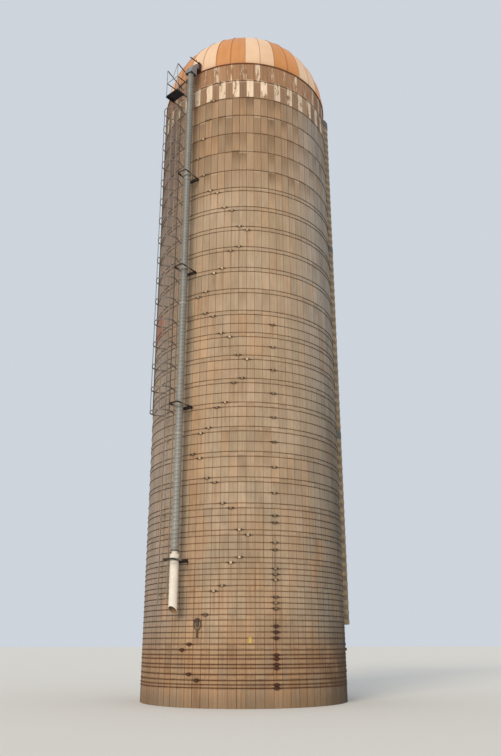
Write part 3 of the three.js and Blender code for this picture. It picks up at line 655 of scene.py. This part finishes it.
def sheet_finish(name, main, worn, painted_light_right):
    """Painted sheet of the dome, streaked down the slope, darker by the seams with dirt and painted shade,
    and lighter to the right as painted light.
    """
    s = Surface(name, roughness=0.5, specular=0.45)
    tone = s.value("tone")
    across = s.math("ABSOLUTE", s.value("across"))
    around = s.join(s.math("MULTIPLY", s.azimuth, 3.0), s.z, tone)
    streaks = s.noise((9.0, 0.7, 1.0), vector=around)
    clouds = s.noise(0.9, 3.0, 0.55)
    speckle = s.noise(60.0, 2.0)
    colour = s.mix(s.product(s.spread(clouds, 0.0, 0.8), s.spread(streaks, 0.4, 1.0)), main, worn)
    uneven = s.total(s.product(tone, 0.03), s.spread(streaks, -0.05, 0.05), s.spread(speckle, -0.02, 0.02))
    colour = s.lit(colour, uneven)
    # Painted light: lighter to the right, by the given share
    side = s.product(s.around(0.3, 1.15), s.around(2.9, 2.2), painted_light_right)
    colour = s.lit(colour, side, s.product(s.up(23.4, 21.5), -0.05))
    # Darker beside the seams with dirt and painted shade, and darker with dirt just above the eave
    by_seam = s.product(s.rise(across, 0.93, 1.0), 0.55)
    dirt_and_shade = s.math("MAXIMUM", by_seam, s.product(s.up(21.6, 21.36), 0.2))
    colour = s.mix(s.product(dirt_and_shade, s.spread(streaks, 0.6, 1.2)), colour, SEAM_DIRT_AND_SHADE)
    height = s.total(clouds, s.product(speckle, 0.05))
    return s.finish(colour, height, strength=0.15, distance=0.02, roughness=s.spread(clouds, 0.42, 0.6))


# Metals that turn into two other tones: their share, and the tones
OTHER_TONES = {
    "ladder": (lambda s: s.up(9.0, 17.0), (188, 174, 156), (162, 148, 132)),
    # The plate is near black: painted shade of its underside
    "platform": (lambda s: s.outwards(PLATE_START, PLATE_START + 0.04), (36, 35, 36), (26, 26, 27)),
    "guard_rail": (lambda s: s.outwards(GUARD_END, GUARD_END + 0.01), (178, 180, 182), (150, 150, 150)),
    # Pale where the bar and clamp cross the pipe: light metal, partly a painted highlight
    "pipe_bracket": (lambda s: s.from_pipe(0.24, 0.16), (176, 172, 160), (142, 136, 124)),
}


def metal_finish(name, main, worn, spots, roughness, metallic, spot_share, scale):
    """Weathered steel: two tones, vertical streaks, and spots of rust or bloom."""
    s = Surface(name, roughness=roughness, metallic=metallic, specular=0.4)
    patches = s.noise(scale, 4.0)
    streaks = s.noise((30.0, 30.0, 1.5), 2.0)
    speckle = s.noise(70.0, 3.0, 0.65)
    colour = s.blend(patches, main, worn)
    if name in OTHER_TONES:
        share, first, second = OTHER_TONES[name]
        colour = s.mix(share(s), colour, s.blend(patches, first, second))
    spotted = s.total(patches, s.product(speckle, 0.35))
    spotted = s.rise(spotted, 0.80 - 0.2 * spot_share, 0.92 - 0.2 * spot_share)
    colour = s.mix(s.product(spotted, spot_share), colour, spots)
    colour = s.lit(colour, s.spread(streaks, -0.10, 0.10), s.spread(speckle, -0.08, 0.08))
    rough = s.spread(speckle, roughness - 0.1, roughness + 0.12)
    return s.finish(colour, s.total(speckle, s.product(patches, 0.5)), strength=0.25, roughness=rough)


def hoop_finish():
    """Rusty steel, dark high up and at the foot, paler between, with painted shade round both sides."""
    s = Surface("hoop_steel", roughness=0.75, metallic=0.25, specular=0.3)
    speckle = s.noise(80.0, 2.0)
    colour = s.layers(
        s.blend(s.noise(3.0, 4.0), HOOP_PALE, HOOP_BROWN),
        (s.up(9.0, 15.0), HOOP_BROWN),
        (s.product(s.rise(s.aside, 0.4, 0.9), 0.95), HOOP_SHADED),
        (s.up(2.0, 1.2), HOOP_RUST),
    )
    return s.finish(s.lit(colour, s.spread(speckle, -0.2, 0.2)), speckle)


def rim_finish():
    """Rusty eave angle, with painted shade that darkens it round both sides."""
    s = Surface("rim_steel", roughness=0.7, specular=0.3)
    patches = s.noise(9.0, 4.0)
    colour = s.blend(patches, (140, 78, 36), (112, 62, 28))
    # Painted shade: darker round both sides
    colour = s.mix(s.rise(s.aside, 0.2, 1.3), colour, (48, 22, 14))
    return s.finish(colour, patches, strength=0.25)


def lug_finish():
    """Cast lugs: pale and worn high up, rusty near the ground."""
    s = Surface("lug_casting", metallic=0.2, specular=0.4)
    speckle = s.noise(90.0)
    patches = s.noise(12.0)
    body = s.value("body")
    upper = s.mix(body, LUG_DARK, LUG_PALE)
    lower = s.mix(s.math("GREATER_THAN", body, 0.0), HOOP_RUST, LUG_RUST)
    fall = s.total(s.up(3.2, 2.0), s.product(s.rise(patches, 0.5, 0.65), 0.35))
    colour = s.mix(s.math("MINIMUM", fall, 1.0), upper, lower)
    return s.finish(s.lit(colour, s.spread(speckle, -0.15, 0.15)), speckle)


def wood_finish():
    s = Surface("weathered_boards", roughness=0.85, specular=0.25)
    fibres = s.noise((4.0, 4.0, 60.0), 3.0, 0.65)
    colour = s.blend(s.noise(2.5), (128, 108, 88), (96, 76, 58))
    colour = s.lit(colour, s.product(s.value("tone"), 0.12), s.spread(fibres, -0.2, 0.15))
    return s.finish(colour, fibres, strength=0.5, distance=0.003)


def floor_finish():
    s = Surface("slab_concrete", roughness=0.9, specular=0.2)
    grain = s.noise(50.0, 2.0)
    colour = s.blend(s.noise(1.2, 3.0, 0.55), (150, 144, 134), (128, 122, 112))
    return s.finish(s.lit(colour, s.spread(grain, -0.05, 0.05)), grain, strength=0.2, distance=0.004)


def pipe_finish():
    """Dull spiral pipe, darker along the lower side of its rib with dirt and painted shade, and with a
    painted highlight above it.
    """
    s = Surface("pipe_sheet", roughness=0.5, metallic=0.2, specular=0.4)
    y = s.less(s.y, PIPE_CENTRE.y)
    turn = s.math("ARCTAN2", y, s.less(s.x, PIPE_CENTRE.x))
    rise = s.math("DIVIDE", s.z, RIB_PITCH)
    phase = s.math("FRACT", s.less(rise, s.math("DIVIDE", turn, 2 * math.pi)))
    patches = s.noise(3.0, 4.0)
    speckle = s.noise(70.0, 3.0, 0.65)
    # Darker under the rib with dirt and painted shade, lighter over it as a painted highlight
    rib_dirt_and_shade = s.product(s.rise(phase, 0.18, 0.36), s.rise(phase, 0.50, 0.42), s.spread(patches, 0.15, 0.5))
    over = s.product(s.rise(phase, 0.46, 0.54), s.rise(phase, 0.74, 0.6), 0.25)
    base = s.blend(patches, (144, 142, 136), (130, 129, 122))
    colour = s.layers(base, (rib_dirt_and_shade, (92, 87, 78)), (over, (176, 172, 162)))
    lower = s.product(s.up(14.0, 4.0), 0.26)
    return s.finish(s.lit(colour, -0.14, lower, s.spread(speckle, -0.08, 0.08)), speckle, strength=0.2)


def chute_finish():
    """Tan sheet, grey at its joints, with painted shade darker in the grooves between its bands and lighter
    ridges.
    """
    s = Surface("banded_sheet", roughness=0.65, metallic=0.05, specular=0.35)
    patches = s.noise(3.0, 4.0)
    streaks = s.noise((22.0, 22.0, 1.2), 2.0)
    speckle = s.noise(70.0, 2.0)
    phase = s.math("FRACT", s.math("DIVIDE", s.less(s.z, CHUTE_BOTTOM), CHUTE_PITCH))
    # Painted shade: dark in the grooves, light on the ridges of the bands
    lit_ridge = s.rise(s.apart(phase, 0.25), 0.30, 0.16)
    light = s.blend(patches, (178, 157, 124), (160, 136, 102))
    dark = s.blend(patches, (142, 122, 96), (120, 101, 77))
    colour = s.mix(s.product(lit_ridge, s.spread(streaks, 0.5, 1.1)), dark, light)
    for height in CHUTE_JOINTS:
        at_joint = s.rise(s.apart(s.z, height), CHUTE_JOINT_HALF + 0.02, CHUTE_JOINT_HALF - 0.02)
        colour = s.mix(s.product(at_joint, 0.85), colour, (98, 96, 92))
    colour = s.lit(colour, s.spread(streaks, -0.08, 0.08), s.spread(speckle, -0.06, 0.06))
    return s.finish(colour, s.total(speckle, s.product(patches, 0.5)), strength=0.25)


def outlet_finish():
    """Off-white pipe, tan inside, with faint stains."""
    s = Surface("outlet_pipe", roughness=0.45, specular=0.4)
    streaks = s.noise((30.0, 30.0, 1.2), 2.0)
    speckle = s.noise(80.0, 2.0)
    colour = s.blend(s.noise(6.0), (242, 232, 218), (228, 216, 200))
    colour = s.mix(s.product(s.rise(streaks, 0.55, 0.7), 0.3), colour, (206, 182, 154))
    colour = s.mix(s.from_pipe(0.1195, 0.1175), colour, (150, 118, 84))
    return s.finish(s.lit(colour, s.spread(speckle, -0.04, 0.04)), speckle, strength=0.15)


# Finishes by slot, then those of single nodes and pieces
FINISHES = {
    **{name: metal_finish(name, *settings) for name, settings in METALS.items()},
    "concrete": wall_finish(),
    "floor": floor_finish(),
    "dome_orange": sheet_finish("orange_sheet", (205, 134, 68), (217, 152, 90), 0.35),
    "dome_cream": sheet_finish("cream_sheet", (240, 204, 166), (228, 184, 147), 0.1),
    "chute_sheet": chute_finish(),
    "door_wood": wood_finish(),
    "outlet_pipe": outlet_finish(),
    "pipe_sheet": pipe_finish(),
    "hoop_steel": hoop_finish(),
    "lug_casting": lug_finish(),
    "rim_steel": rim_finish(),
}

for subpart in frame["record"]["subparts"]:
    node = subpart["node"]
    own = "pipe_bracket" if node.startswith("pipe_bracket") else node
    mesh = frame["nodes"][node].data
    mesh.materials.clear()
    mesh.materials.append(FINISHES.get(own, FINISHES[subpart["material_slot"]]))


# Hoop heights, each with its number in the zigzag or None for an extra hoop

def hoop_list():
    hoops = []
    for course in SINGLE_HOOPS:
        hoops.append((PAINT_FOOT - course * COURSE, course - 5))
    for course in PAIRED_HOOPS:
        line = PAINT_FOOT - course * COURSE
        hoops.append((line + HOOP_PAIR_OFFSET, 2 * (course - 5)))
        hoops.append((line - HOOP_PAIR_OFFSET, 2 * (course - 5) + 1))
    for (first, last), fractions in EXTRA_HOOPS.items():
        for course in range(first, last + 1):
            for fraction in fractions:
                hoops.append((PAINT_FOOT - (course + fraction) * COURSE, None))
    return hoops


def zigzag_stave(number):
    for (first, stave), (after, next_stave) in zip(LUG_TURNS, LUG_TURNS[1:]):
        if number <= after:
            return stave + (next_stave - stave) * (number - first) / (after - first)
    return LUG_TURNS[-1][1]


def lug_places():
    """(stave position, height, paleness) of every lug."""
    places = []
    for height, number in hoop_list():
        stave = EXTRA_LUG_STAVE if number is None else zigzag_stave(number)
        pale = 0.55 if number is None else 1.0
        for turn in range(LUGS_ROUND):
            places.append((stave + turn * STAVES / LUGS_ROUND, height, pale))
    return places


LUGS = lug_places()


# Staves

def drips_by_stave():
    """For (stave, course): place across the stave, height and strength of the drip on it."""
    found = {}
    for stave, height, _ in LUGS:
        if height > PAINT_FOOT:
            continue
        index = math.floor(stave)
        course = int(height / COURSE)
        at = 2 * (stave - index) - 1
        for lower in (0, 1):
            found.setdefault((index % STAVES, course - lower), (at, height, 0.5 if lower == 0 else 0.4))
    return found


DRIPS = drips_by_stave()


def stave_looks(index, course):
    """Values of one stave that the finish of the wall reads."""
    signed = (index + STAVES // 2) % STAVES - STAVES // 2
    stained = course in STAINED_COURSES
    tone = max(-1.7, min(1.7, dice.gauss(0, 0.8)))
    warm = dice.random() ** 6 * 0.4
    strip_chance = 0.09 if stained else 0.02 if course > 14 else 0.0
    strip = 1.0 if dice.random() < strip_chance else 0.0
    wear = dice.uniform(-0.1, 0.1)
    seam = 0.3 + 0.4 * dice.random() ** 2
    stain = dice.random()
    if stained:
        seam += 0.35
        stain = max(0.0, stain - 0.35) * (1.6 if -5 < signed < 8 else 1.0)
    else:
        stain = max(0.0, stain - 0.9) * 4
    if 12 < course < 21:
        seam += 0.12
    if course < 9:
        seam += 0.75 * JOINT_WEAR[index % STAVES] ** 2 * (9 - course) / 9 + 0.1
    if signed in ORANGE_COLUMNS and course in ORANGE_COURSES:
        warm = ORANGE_COLUMNS[signed] * dice.uniform(0.5, 1.3)
    warm = ORANGE_STAVES.get((signed, course), warm)
    drip_at, drip_top, drip = DRIPS.get((index % STAVES, course), (0.0, 0.0, 0.0))
    looks = {"tone": tone, "seam": seam, "drip": drip, "drip_at": drip_at, "drip_top": drip_top}
    if course < COURSES - 2:
        return {**looks, "warm": warm, "stain": stain, "strip": strip}
    if course == COURSES - 2:
        strip = 0.9
    white = 0.0
    if course == COURSES - 2 and index % 2 == 0:
        white = 0.86 + wear
    if course == COURSES - 1 and index % 2 == 1:
        white = 0.24 + wear + (0.2 if signed in (1, -5) or 5 < signed < 14 else 0.0)
    return {**looks, "brown": 1.0, "white": white, "strip": strip}


def add_stave(build, index, course, bottom, top):
    """One stave between radial joints, with its places across and down from its top on its points."""
    edge = 1 - STAVE_EDGE / STAVE_HALF
    across = [-1.0, 1.0, 1.0, -1.0] * 2 + [-edge, edge, edge, -edge]
    length = top - bottom
    high = [length, length, 0.0, 0.0] * 2 + [length - STAVE_EDGE] * 2 + [STAVE_EDGE] * 2
    azimuth = joint_azimuth(index) + STAVE_ANGLE / 2
    out = (STAVE_FRONT - STAVE_DEPTH, STAVE_FRONT)
    build.slab(
        azimuth, (-STAVE_HALF, STAVE_HALF), out, (bottom, top), STAVE_EDGE, out[0] / out[1],
        across=across, high=high, **stave_looks(index, course),
    )


def add_core(build, first, count, bottom, top):
    """The inner face of the wall, behind the staves."""
    section = ((INNER_RADIUS, bottom), (CORE_RADIUS, bottom), (CORE_RADIUS, top), (INNER_RADIUS, top))
    joints = range(first, first + count + 1)
    rows = [[spot(joint_azimuth(joint), *corner) for corner in section] for joint in joints]
    build.grid(rows, across=1.0, tone=-1.0, seam=0.5)


def wall_piece(node, first, count, bottom_course):
    build = Build()
    add_core(build, first, count, bottom_course * COURSE, WALL_TOP - 0.001)
    for index in range(first, first + count):
        shift = STAGGER if index % 2 == 0 else -STAGGER
        for course in range(bottom_course, COURSES):
            bottom = course * COURSE + (shift if course > bottom_course else 0.0)
            top = (course + 1) * COURSE + (shift if course < COURSES - 1 else 0.0)
            add_stave(build, index, course, bottom + JOINT_GAP / 2, top - JOINT_GAP / 2)
    build.piece(node + "_staves", "concrete", replaces=(node,))


for number, node in enumerate(WALL_SEGMENTS):
    wall_piece(node, DOOR_FIRST + DOOR_STAVES + number * SEGMENT_STAVES, SEGMENT_STAVES, 0)
wall_piece("wall_over_doors", DOOR_FIRST, DOOR_STAVES, COURSES - 2)


# Hoops and lugs

def hoops():
    build = Build()
    centre = OUTER_RADIUS + HOOP_SEAT
    turns = [math.radians(60 * step + 30) for step in range(6)]
    section = [(HOOP_RADIUS * math.cos(turn), HOOP_RADIUS * math.sin(turn)) for turn in turns]
    for height, _ in hoop_list():
        sway = dice.uniform(0.001, 0.006 if height < 9 else 0.003)
        start = dice.uniform(0.0, 360.0)
        rows = []
        for index in range(STAVES):
            azimuth = joint_azimuth(index)
            level = height + sway * math.sin(math.radians(LUGS_ROUND * azimuth + start))
            rows.append([spot(azimuth, centre + out, level + up) for out, up in section])
        build.grid(rows, along=True)
    build.piece("hoops", "dark_steel", "hoop_steel", smooth=80)


def lugs():
    """Cast lugs with the threaded ends and nuts of their hoops."""
    build = Build()
    for stave, height, pale in LUGS:
        azimuth = joint_azimuth(stave)
        body = pale * dice.uniform(0.15, 1.0)
        size = 1.4 if height < LOW_LUG_HEIGHT else 1.05
        half = LUG_HALF_WIDTH * size
        up = (height - 0.030 * size, height + 0.028 * size)
        build.slab(azimuth, (-half, half), (LUG_SEAT, LUG_SEAT + LUG_DEPTH), up, 0.01, body=body)
        for side in (-1, 1):
            up = height + side * LUG_STAGGER
            inner, outer, end = (side * reach for reach in (*NUT_SPAN, THREAD_END))
            build.rod(ends(azimuth, LUG_AXIS, up, (inner, outer)), NUT_RADIUS, 6)
            build.rod(ends(azimuth, LUG_AXIS, up, (outer, end)), HOOP_RADIUS, 6)
            start = spot(azimuth, LUG_AXIS, height - side * LUG_STAGGER, inner)
            far = spot(azimuth + side * LUG_ROD_ANGLE, OUTER_RADIUS + HOOP_RADIUS, height)
            build.rod((start, far), HOOP_RADIUS + 0.0005, 6)
    build.piece("hoop_lugs", "dark_steel", "lug_casting", smooth=35)


hoops()
lugs()


# Dome

def dome_point(step, lift=0.0):
    """Distance out and height of a step up the dome."""
    angle = CROWN_ANGLE * step / GORE_STEPS
    return (DOME_RADIUS + lift) * math.cos(angle), DOME_BASE + (DOME_RISE + lift) * math.sin(angle)


def dome_gores(colour, numbers, first_panel):
    """Curved sheets, a little flatter than the round between their seams."""
    build = Build()
    half = GORE_ANGLE / 2 - GORE_GAP
    layers = [(column, 0.0) for column in GORE_COLUMNS]
    layers += [(column, -GORE_SHEET) for column in reversed(GORE_COLUMNS)]
    across = [column for column, _ in layers] * (GORE_STEPS + 1)
    for number in numbers:
        rows = []
        for step in range(GORE_STEPS + 1):
            row = []
            for column, lift in layers:
                radius, height = dome_point(step, lift)
                flatter = 1 - GORE_FLATNESS * (1 - column ** 2)
                row.append(spot((number + 0.5) * GORE_ANGLE + column * half, radius * flatter, height))
            rows.append(row)
        build.grid(rows, across=across, tone=dice.uniform(-1, 1))
    nodes = [f"dome_panel_{number:02d}" for number in range(first_panel, 19, 2)]
    build.piece("dome_gores_" + colour, "dome_" + colour, replaces=nodes, smooth=40)


def dome_seams(colour, numbers):
    build = Build()
    half = SEAM_WIDTH / 2
    corners = ((-SEAM_DEPTH, -half), (-SEAM_DEPTH, half), (SEAM_HEIGHT, half), (SEAM_HEIGHT, -half))
    for number in numbers:
        rows = []
        for step in range(GORE_STEPS + 1):
            rows.append([spot(number * GORE_ANGLE, *dome_point(step, lift), side) for lift, side in corners])
        build.grid(rows, across=1.0, tone=0.0)
    build.piece("dome_seams_" + colour, "dome_" + colour)


def eave_rim():
    """Dark angle round the foot of the dome, hanging a little over the wall."""
    build = Build()
    profile = (
        (OUTER_RADIUS + 0.004, WALL_TOP + 0.001),
        (OUTER_RADIUS + 0.016, WALL_TOP - EAVE_DROP),
        (DOME_RADIUS + 0.016, WALL_TOP - EAVE_DROP),
        (DOME_RADIUS + 0.017, WALL_TOP + 0.024),
        (DOME_RADIUS + 0.006, DOME_BASE + 0.004),
        (DOME_RADIUS - 0.006, DOME_BASE),
    )
    rows = [[spot(joint_azimuth(half / 2), *corner) for corner in profile] for half in range(2 * STAVES)]
    build.grid(rows, along=True)
    build.piece("eave_rim", "dark_steel", "rim_steel", smooth=40)


dome_gores("cream", CREAM_GORES, 1)
dome_gores("orange", ORANGE_GORES, 2)
dome_seams("cream", CREAM_GORES)
dome_seams("orange", ORANGE_GORES)
eave_rim()


# Fill pipe with its spiral rib and light coupling bands

def rib_radius(height, side):
    phase = (height / RIB_PITCH - side / PIPE_SIDES) % 1.0
    rib = max(0.0, math.cos(2 * math.pi * (phase - 0.5))) ** 3
    return PIPE_RADIUS - RIB_HEIGHT + RIB_HEIGHT * rib


def fill_pipe():
    build = Build()
    count = int((PIPE_TOP - NECK_TOP) / RIB_PITCH * RIB_ROWS)
    rows = []
    for row in range(count + 1):
        height = NECK_TOP + (PIPE_TOP - NECK_TOP) * row / count
        rows.append(pipe_ring(height, [rib_radius(height, side) for side in range(PIPE_SIDES)]))
    for height in (PIPE_TOP, NECK_TOP):
        rows.append(pipe_ring(height, [PIPE_RADIUS - PIPE_WALL] * PIPE_SIDES))
    build.grid(rows, along=True)
    build.piece("fill_pipe_ribbed", "galvanised", "pipe_sheet", ("fill_pipe",), smooth=60)


def pipe_band(build, low, high, radius, thickness):
    """A band round the pipe with both outer edges cut back."""
    inner = radius - thickness
    cut = 0.3 * thickness
    profile = (
        (inner, low), (radius - cut, low), (radius, low + cut),
        (radius, high - cut), (radius - cut, high), (inner, high),
    )
    build.grid([pipe_ring(height, [reach] * BAND_SIDES) for reach, height in profile], along=True)


def pipe_bands():
    build = Build()
    for height in PIPE_BANDS:
        pipe_band(build, height - BAND_HALF_HEIGHT, height + BAND_HALF_HEIGHT, PIPE_RADIUS + 0.004, 0.012)
        for side in (-1, 1):
            across = (side * (PIPE_RADIUS - 0.01), side * (PIPE_RADIUS + 0.04))
            build.rod(ends(PIPE_AZIMUTH, PIPE_OUT, height, across), 0.009)
    build.piece("pipe_coupling_bands", "galvanised", "band_steel", smooth=40)
    dark = Build()
    pipe_band(dark, NECK_TOP - 0.013, NECK_TOP + 0.019, PIPE_RADIUS + 0.006, 0.014)
    dark.piece("pipe_dark_ring", "dark_steel", "cup_sheet", smooth=40)
    neck = Build()
    pipe_band(neck, PIPE_BOTTOM, NECK_TOP + 0.002, NECK_RADIUS, 0.006)
    neck.piece("pipe_neck", "white_pipe", smooth=40)


fill_pipe()
pipe_bands()


# Chute in rolled bands, and the doors behind it

def chute_section(radius, height):
    """(across, out) round the chute, from one edge on the wall or dome to the other."""
    against = OUTER_RADIUS
    if height > DOME_BASE:
        against = DOME_RADIUS * math.sqrt(1 - ((height - DOME_BASE) / DOME_RISE) ** 2)
    back = math.sqrt(max(0.0, against ** 2 - radius ** 2)) - 0.012
    points = [(-radius, back)]
    for step in range(CHUTE_STEPS + 1):
        turn = math.radians(-90 + 180 * step / CHUTE_STEPS)
        points.append((radius * math.sin(turn), CHUTE_OUT + radius * math.cos(turn)))
    return points + [(radius, back)]


def chute():
    build = Build()
    levels = []
    for band in range(CHUTE_BANDS):
        for share, lift in CHUTE_RIB:
            height = CHUTE_BOTTOM + (band + share) * CHUTE_PITCH
            at_joint = min(abs(height - joint) for joint in CHUTE_JOINTS) < CHUTE_JOINT_HALF
            levels.append((height, CHUTE_JOINT_LIFT if at_joint else lift))
    levels.append((CHUTE_TOP, 0.0))
    rows = []
    for height, lift in levels:
        inner = chute_section(CHUTE_RADIUS - 0.022 + lift, height)
        outer = chute_section(CHUTE_RADIUS - 0.016 + lift, height)
        rows.append([spot(CHUTE_AZIMUTH, out, height, across) for across, out in inner + outer[::-1]])
    build.grid(rows)
    for side in (-1, 1):
        across = sorted(side * edge for edge in FOOT_STRIP)
        build.slab(CHUTE_AZIMUTH, across, (FOOT_BACK, FOOT_FACE), (CHUTE_BOTTOM, WALL_TOP - 0.06), 0.003)
    build.piece("chute_banded", "chute_sheet", replaces=("chute",), smooth=35)


def chute_bolts():
    build = Build()
    for side in (-1, 1):
        for band in range(0, CHUTE_BANDS, 2):
            height = CHUTE_BOTTOM + (band + 0.7) * CHUTE_PITCH
            if height <= WALL_TOP - 0.1:
                out = (FOOT_FACE - 0.002, FOOT_FACE + 0.012)
                build.rod(ends(CHUTE_AZIMUTH, out, height, side * (CHUTE_RADIUS + 0.02)), BOLT_RADIUS, 6)
    build.piece("chute_bolts", "dark_steel")


def doors():
    """Boarded doors stacked in the frame, each with two battens."""
    build = Build()
    low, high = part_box("door_panels")
    half_angle = math.radians(DOOR_STAVES * STAVE_ANGLE / 2)
    half = INNER_RADIUS * math.sin(half_angle) - 0.064
    front = OUTER_RADIUS * math.cos(half_angle) - DOOR_FACE_INSET
    face = front - BATTEN_DEPTH
    count = round((high.z - low.z) / COURSE)
    pitch = (high.z - low.z) / count
    board = (pitch - 0.008) / BOARDS_A_DOOR
    for door in range(count):
        bottom = low.z + door * pitch + 0.004
        for index in range(BOARDS_A_DOOR):
            up = (bottom + index * board + 0.0015, bottom + (index + 1) * board - 0.0015)
            tone = dice.uniform(-1, 1)
            build.slab(CHUTE_AZIMUTH, (-half, half), (front - DOOR_THICKNESS, face), up, 0.003, tone=tone)
        for side in (-1, 1):
            centre = side * half * 0.62
            span = (centre - 0.045, centre + 0.045)
            up = (bottom + 0.02, bottom + pitch - 0.028)
            build.slab(CHUTE_AZIMUTH, span, (face - 0.0005, front), up, 0.003, tone=dice.uniform(-1, 1))
    build.piece("boarded_doors", "door_wood", replaces=("door_panels",))


chute()
chute_bolts()
doors()


# Bolts of the cage and brackets

def cage_bolts():
    build = Build()
    pitch = (CAGE_TOP - CAGE_BOTTOM) / (CAGE_HOOPS - 1)
    centre = spot(LADDER_AZIMUTH, CAGE_OUT, 0.0)
    out = (CAGE_RADIUS - 0.001, CAGE_RADIUS + 0.008)
    for index in range(CAGE_HOOPS):
        height = CAGE_BOTTOM + index * pitch + CAGE_BAR_HEIGHT / 2
        for angle in CAGE_STRAPS:
            build.rod([centre + end for end in ends(LADDER_AZIMUTH + angle, out, height)], 0.011)
    build.piece("cage_bolts", "galvanised")


def bracket_bolts():
    """Bolts of the wall plates, of the clamps and of the outer bar of each bracket."""
    build = Build()
    head = (OUTER_RADIUS + 0.013, OUTER_RADIUS + 0.028)
    for height in BRACKET_HEIGHTS:
        for side in (-1, 1):
            across = side * (BRACKET_HALF_WIDTH - BRACKET_WALL_BOLT)
            for offset in (BRACKET_WALL_BOLT, -BRACKET_WALL_BOLT):
                build.rod(ends(PIPE_AZIMUTH, head, height + offset, across), BOLT_RADIUS, 6)
            up = (height - 0.04, height + 0.04)
            build.rod(ends(PIPE_AZIMUTH, PIPE_OUT, up, side * CLAMP_BOLT_OUT), 0.008)
            through = (side * (BRACKET_HALF_WIDTH - 0.01), side * (BRACKET_HALF_WIDTH + 0.012))
            build.rod(ends(PIPE_AZIMUTH, BRACKET_END - 0.03, height, through), 0.01, 6)
    build.piece("bracket_bolts", "dark_steel")


cage_bolts()
bracket_bolts()


# Grey cup inside the ring, and the yellow tag

def ring_cup():
    build = Build()
    turns = [2 * math.pi * side / CUP_SIDES for side in reversed(range(CUP_SIDES))]
    oval = [(CUP_SQUASH * math.sin(turn), math.cos(turn)) for turn in turns]
    rows = []
    for reach, up in CUP_PROFILE:
        height = RING_HEIGHT + up
        rows.append([spot(RING_AZIMUTH, CUP_OUT + reach * out, height, reach * side) for out, side in oval])
    build.grid(rows)
    build.piece("ring_cup", "galvanised", "cup_sheet", smooth=50)


def tag():
    """A curled tag that hangs from a nail."""
    build = Build()
    sides = [2 * step / TAG_STEPS - 1 for step in range(TAG_STEPS + 1)]
    layers = [(side, TAG_SHEET) for side in sides] + [(side, 0.0) for side in reversed(sides)]
    rows = []
    for step in range(TAG_STEPS + 1):
        share = step / TAG_STEPS
        width = TAG_HALF_WIDTH * (1 - 0.25 * max(0.0, 2 * share - 1) ** 3)
        row = []
        for side, layer in layers:
            out = OUTER_RADIUS + 0.006 + 0.012 * (1 - share) ** 2 + 0.004 * side * side + layer
            row.append(spot(TAG_AZIMUTH, out, TAG_HEIGHT + TAG_LENGTH * (share - 0.5), side * width))
        rows.append(row)
    build.grid(rows)
    nail = (OUTER_RADIUS - 0.01, OUTER_RADIUS + 0.018)
    build.rod(ends(TAG_AZIMUTH, nail, TAG_HEIGHT + 0.4 * TAG_LENGTH), 0.004)
    build.piece("yellow_tag", "white_pipe", "yellow_plastic", smooth=60)


ring_cup()
tag()


# Floor, light and camera

def stage():
    bpy.ops.mesh.primitive_plane_add(size=900, location=(0, 0, -0.002))
    floor = bpy.context.object
    floor.name = "studio_floor"
    s = Surface("studio_floor", roughness=0.95, specular=0.1)
    floor.data.materials.append(s.finish((226, 222, 214)))

    world = bpy.data.worlds.new("studio")
    world.use_nodes = True
    sky = world.node_tree.nodes["Background"]
    sky.inputs["Color"].default_value = SKY_COLOUR
    sky.inputs["Strength"].default_value = SKY_STRENGTH
    bpy.context.scene.world = world
    bpy.context.scene.view_settings.view_transform = "Standard"

    key = bpy.data.lights.new("key", "SUN")
    key.energy = SUN_STRENGTH
    key.angle = math.radians(SUN_SPREAD)
    key.color = SUN_COLOUR
    lamp = bpy.data.objects.new("key", key)
    rise = math.radians(SUN_RISE)
    towards = spot(SUN_AZIMUTH, math.cos(rise), math.sin(rise))
    lamp.rotation_mode = "QUATERNION"
    lamp.rotation_quaternion = towards.to_track_quat("Z", "Y")
    bpy.context.scene.collection.objects.link(lamp)


def camera():
    data = bpy.data.cameras.new("camera")
    data.sensor_width = SENSOR
    data.lens = CAMERA_LENS
    data.clip_end = 1000
    view = bpy.data.objects.new("camera", data)
    turn = (
        Matrix.Rotation(-CAMERA_YAW, 4, "Z")
        @ Matrix.Rotation(math.pi / 2 + CAMERA_PITCH, 4, "X")
        @ Matrix.Rotation(CAMERA_ROLL, 4, "Z")
    )
    view.matrix_world = Matrix.Translation(CAMERA_PLACE) @ turn
    bpy.context.scene.collection.objects.link(view)
    bpy.context.scene.camera = view


stage()
camera()
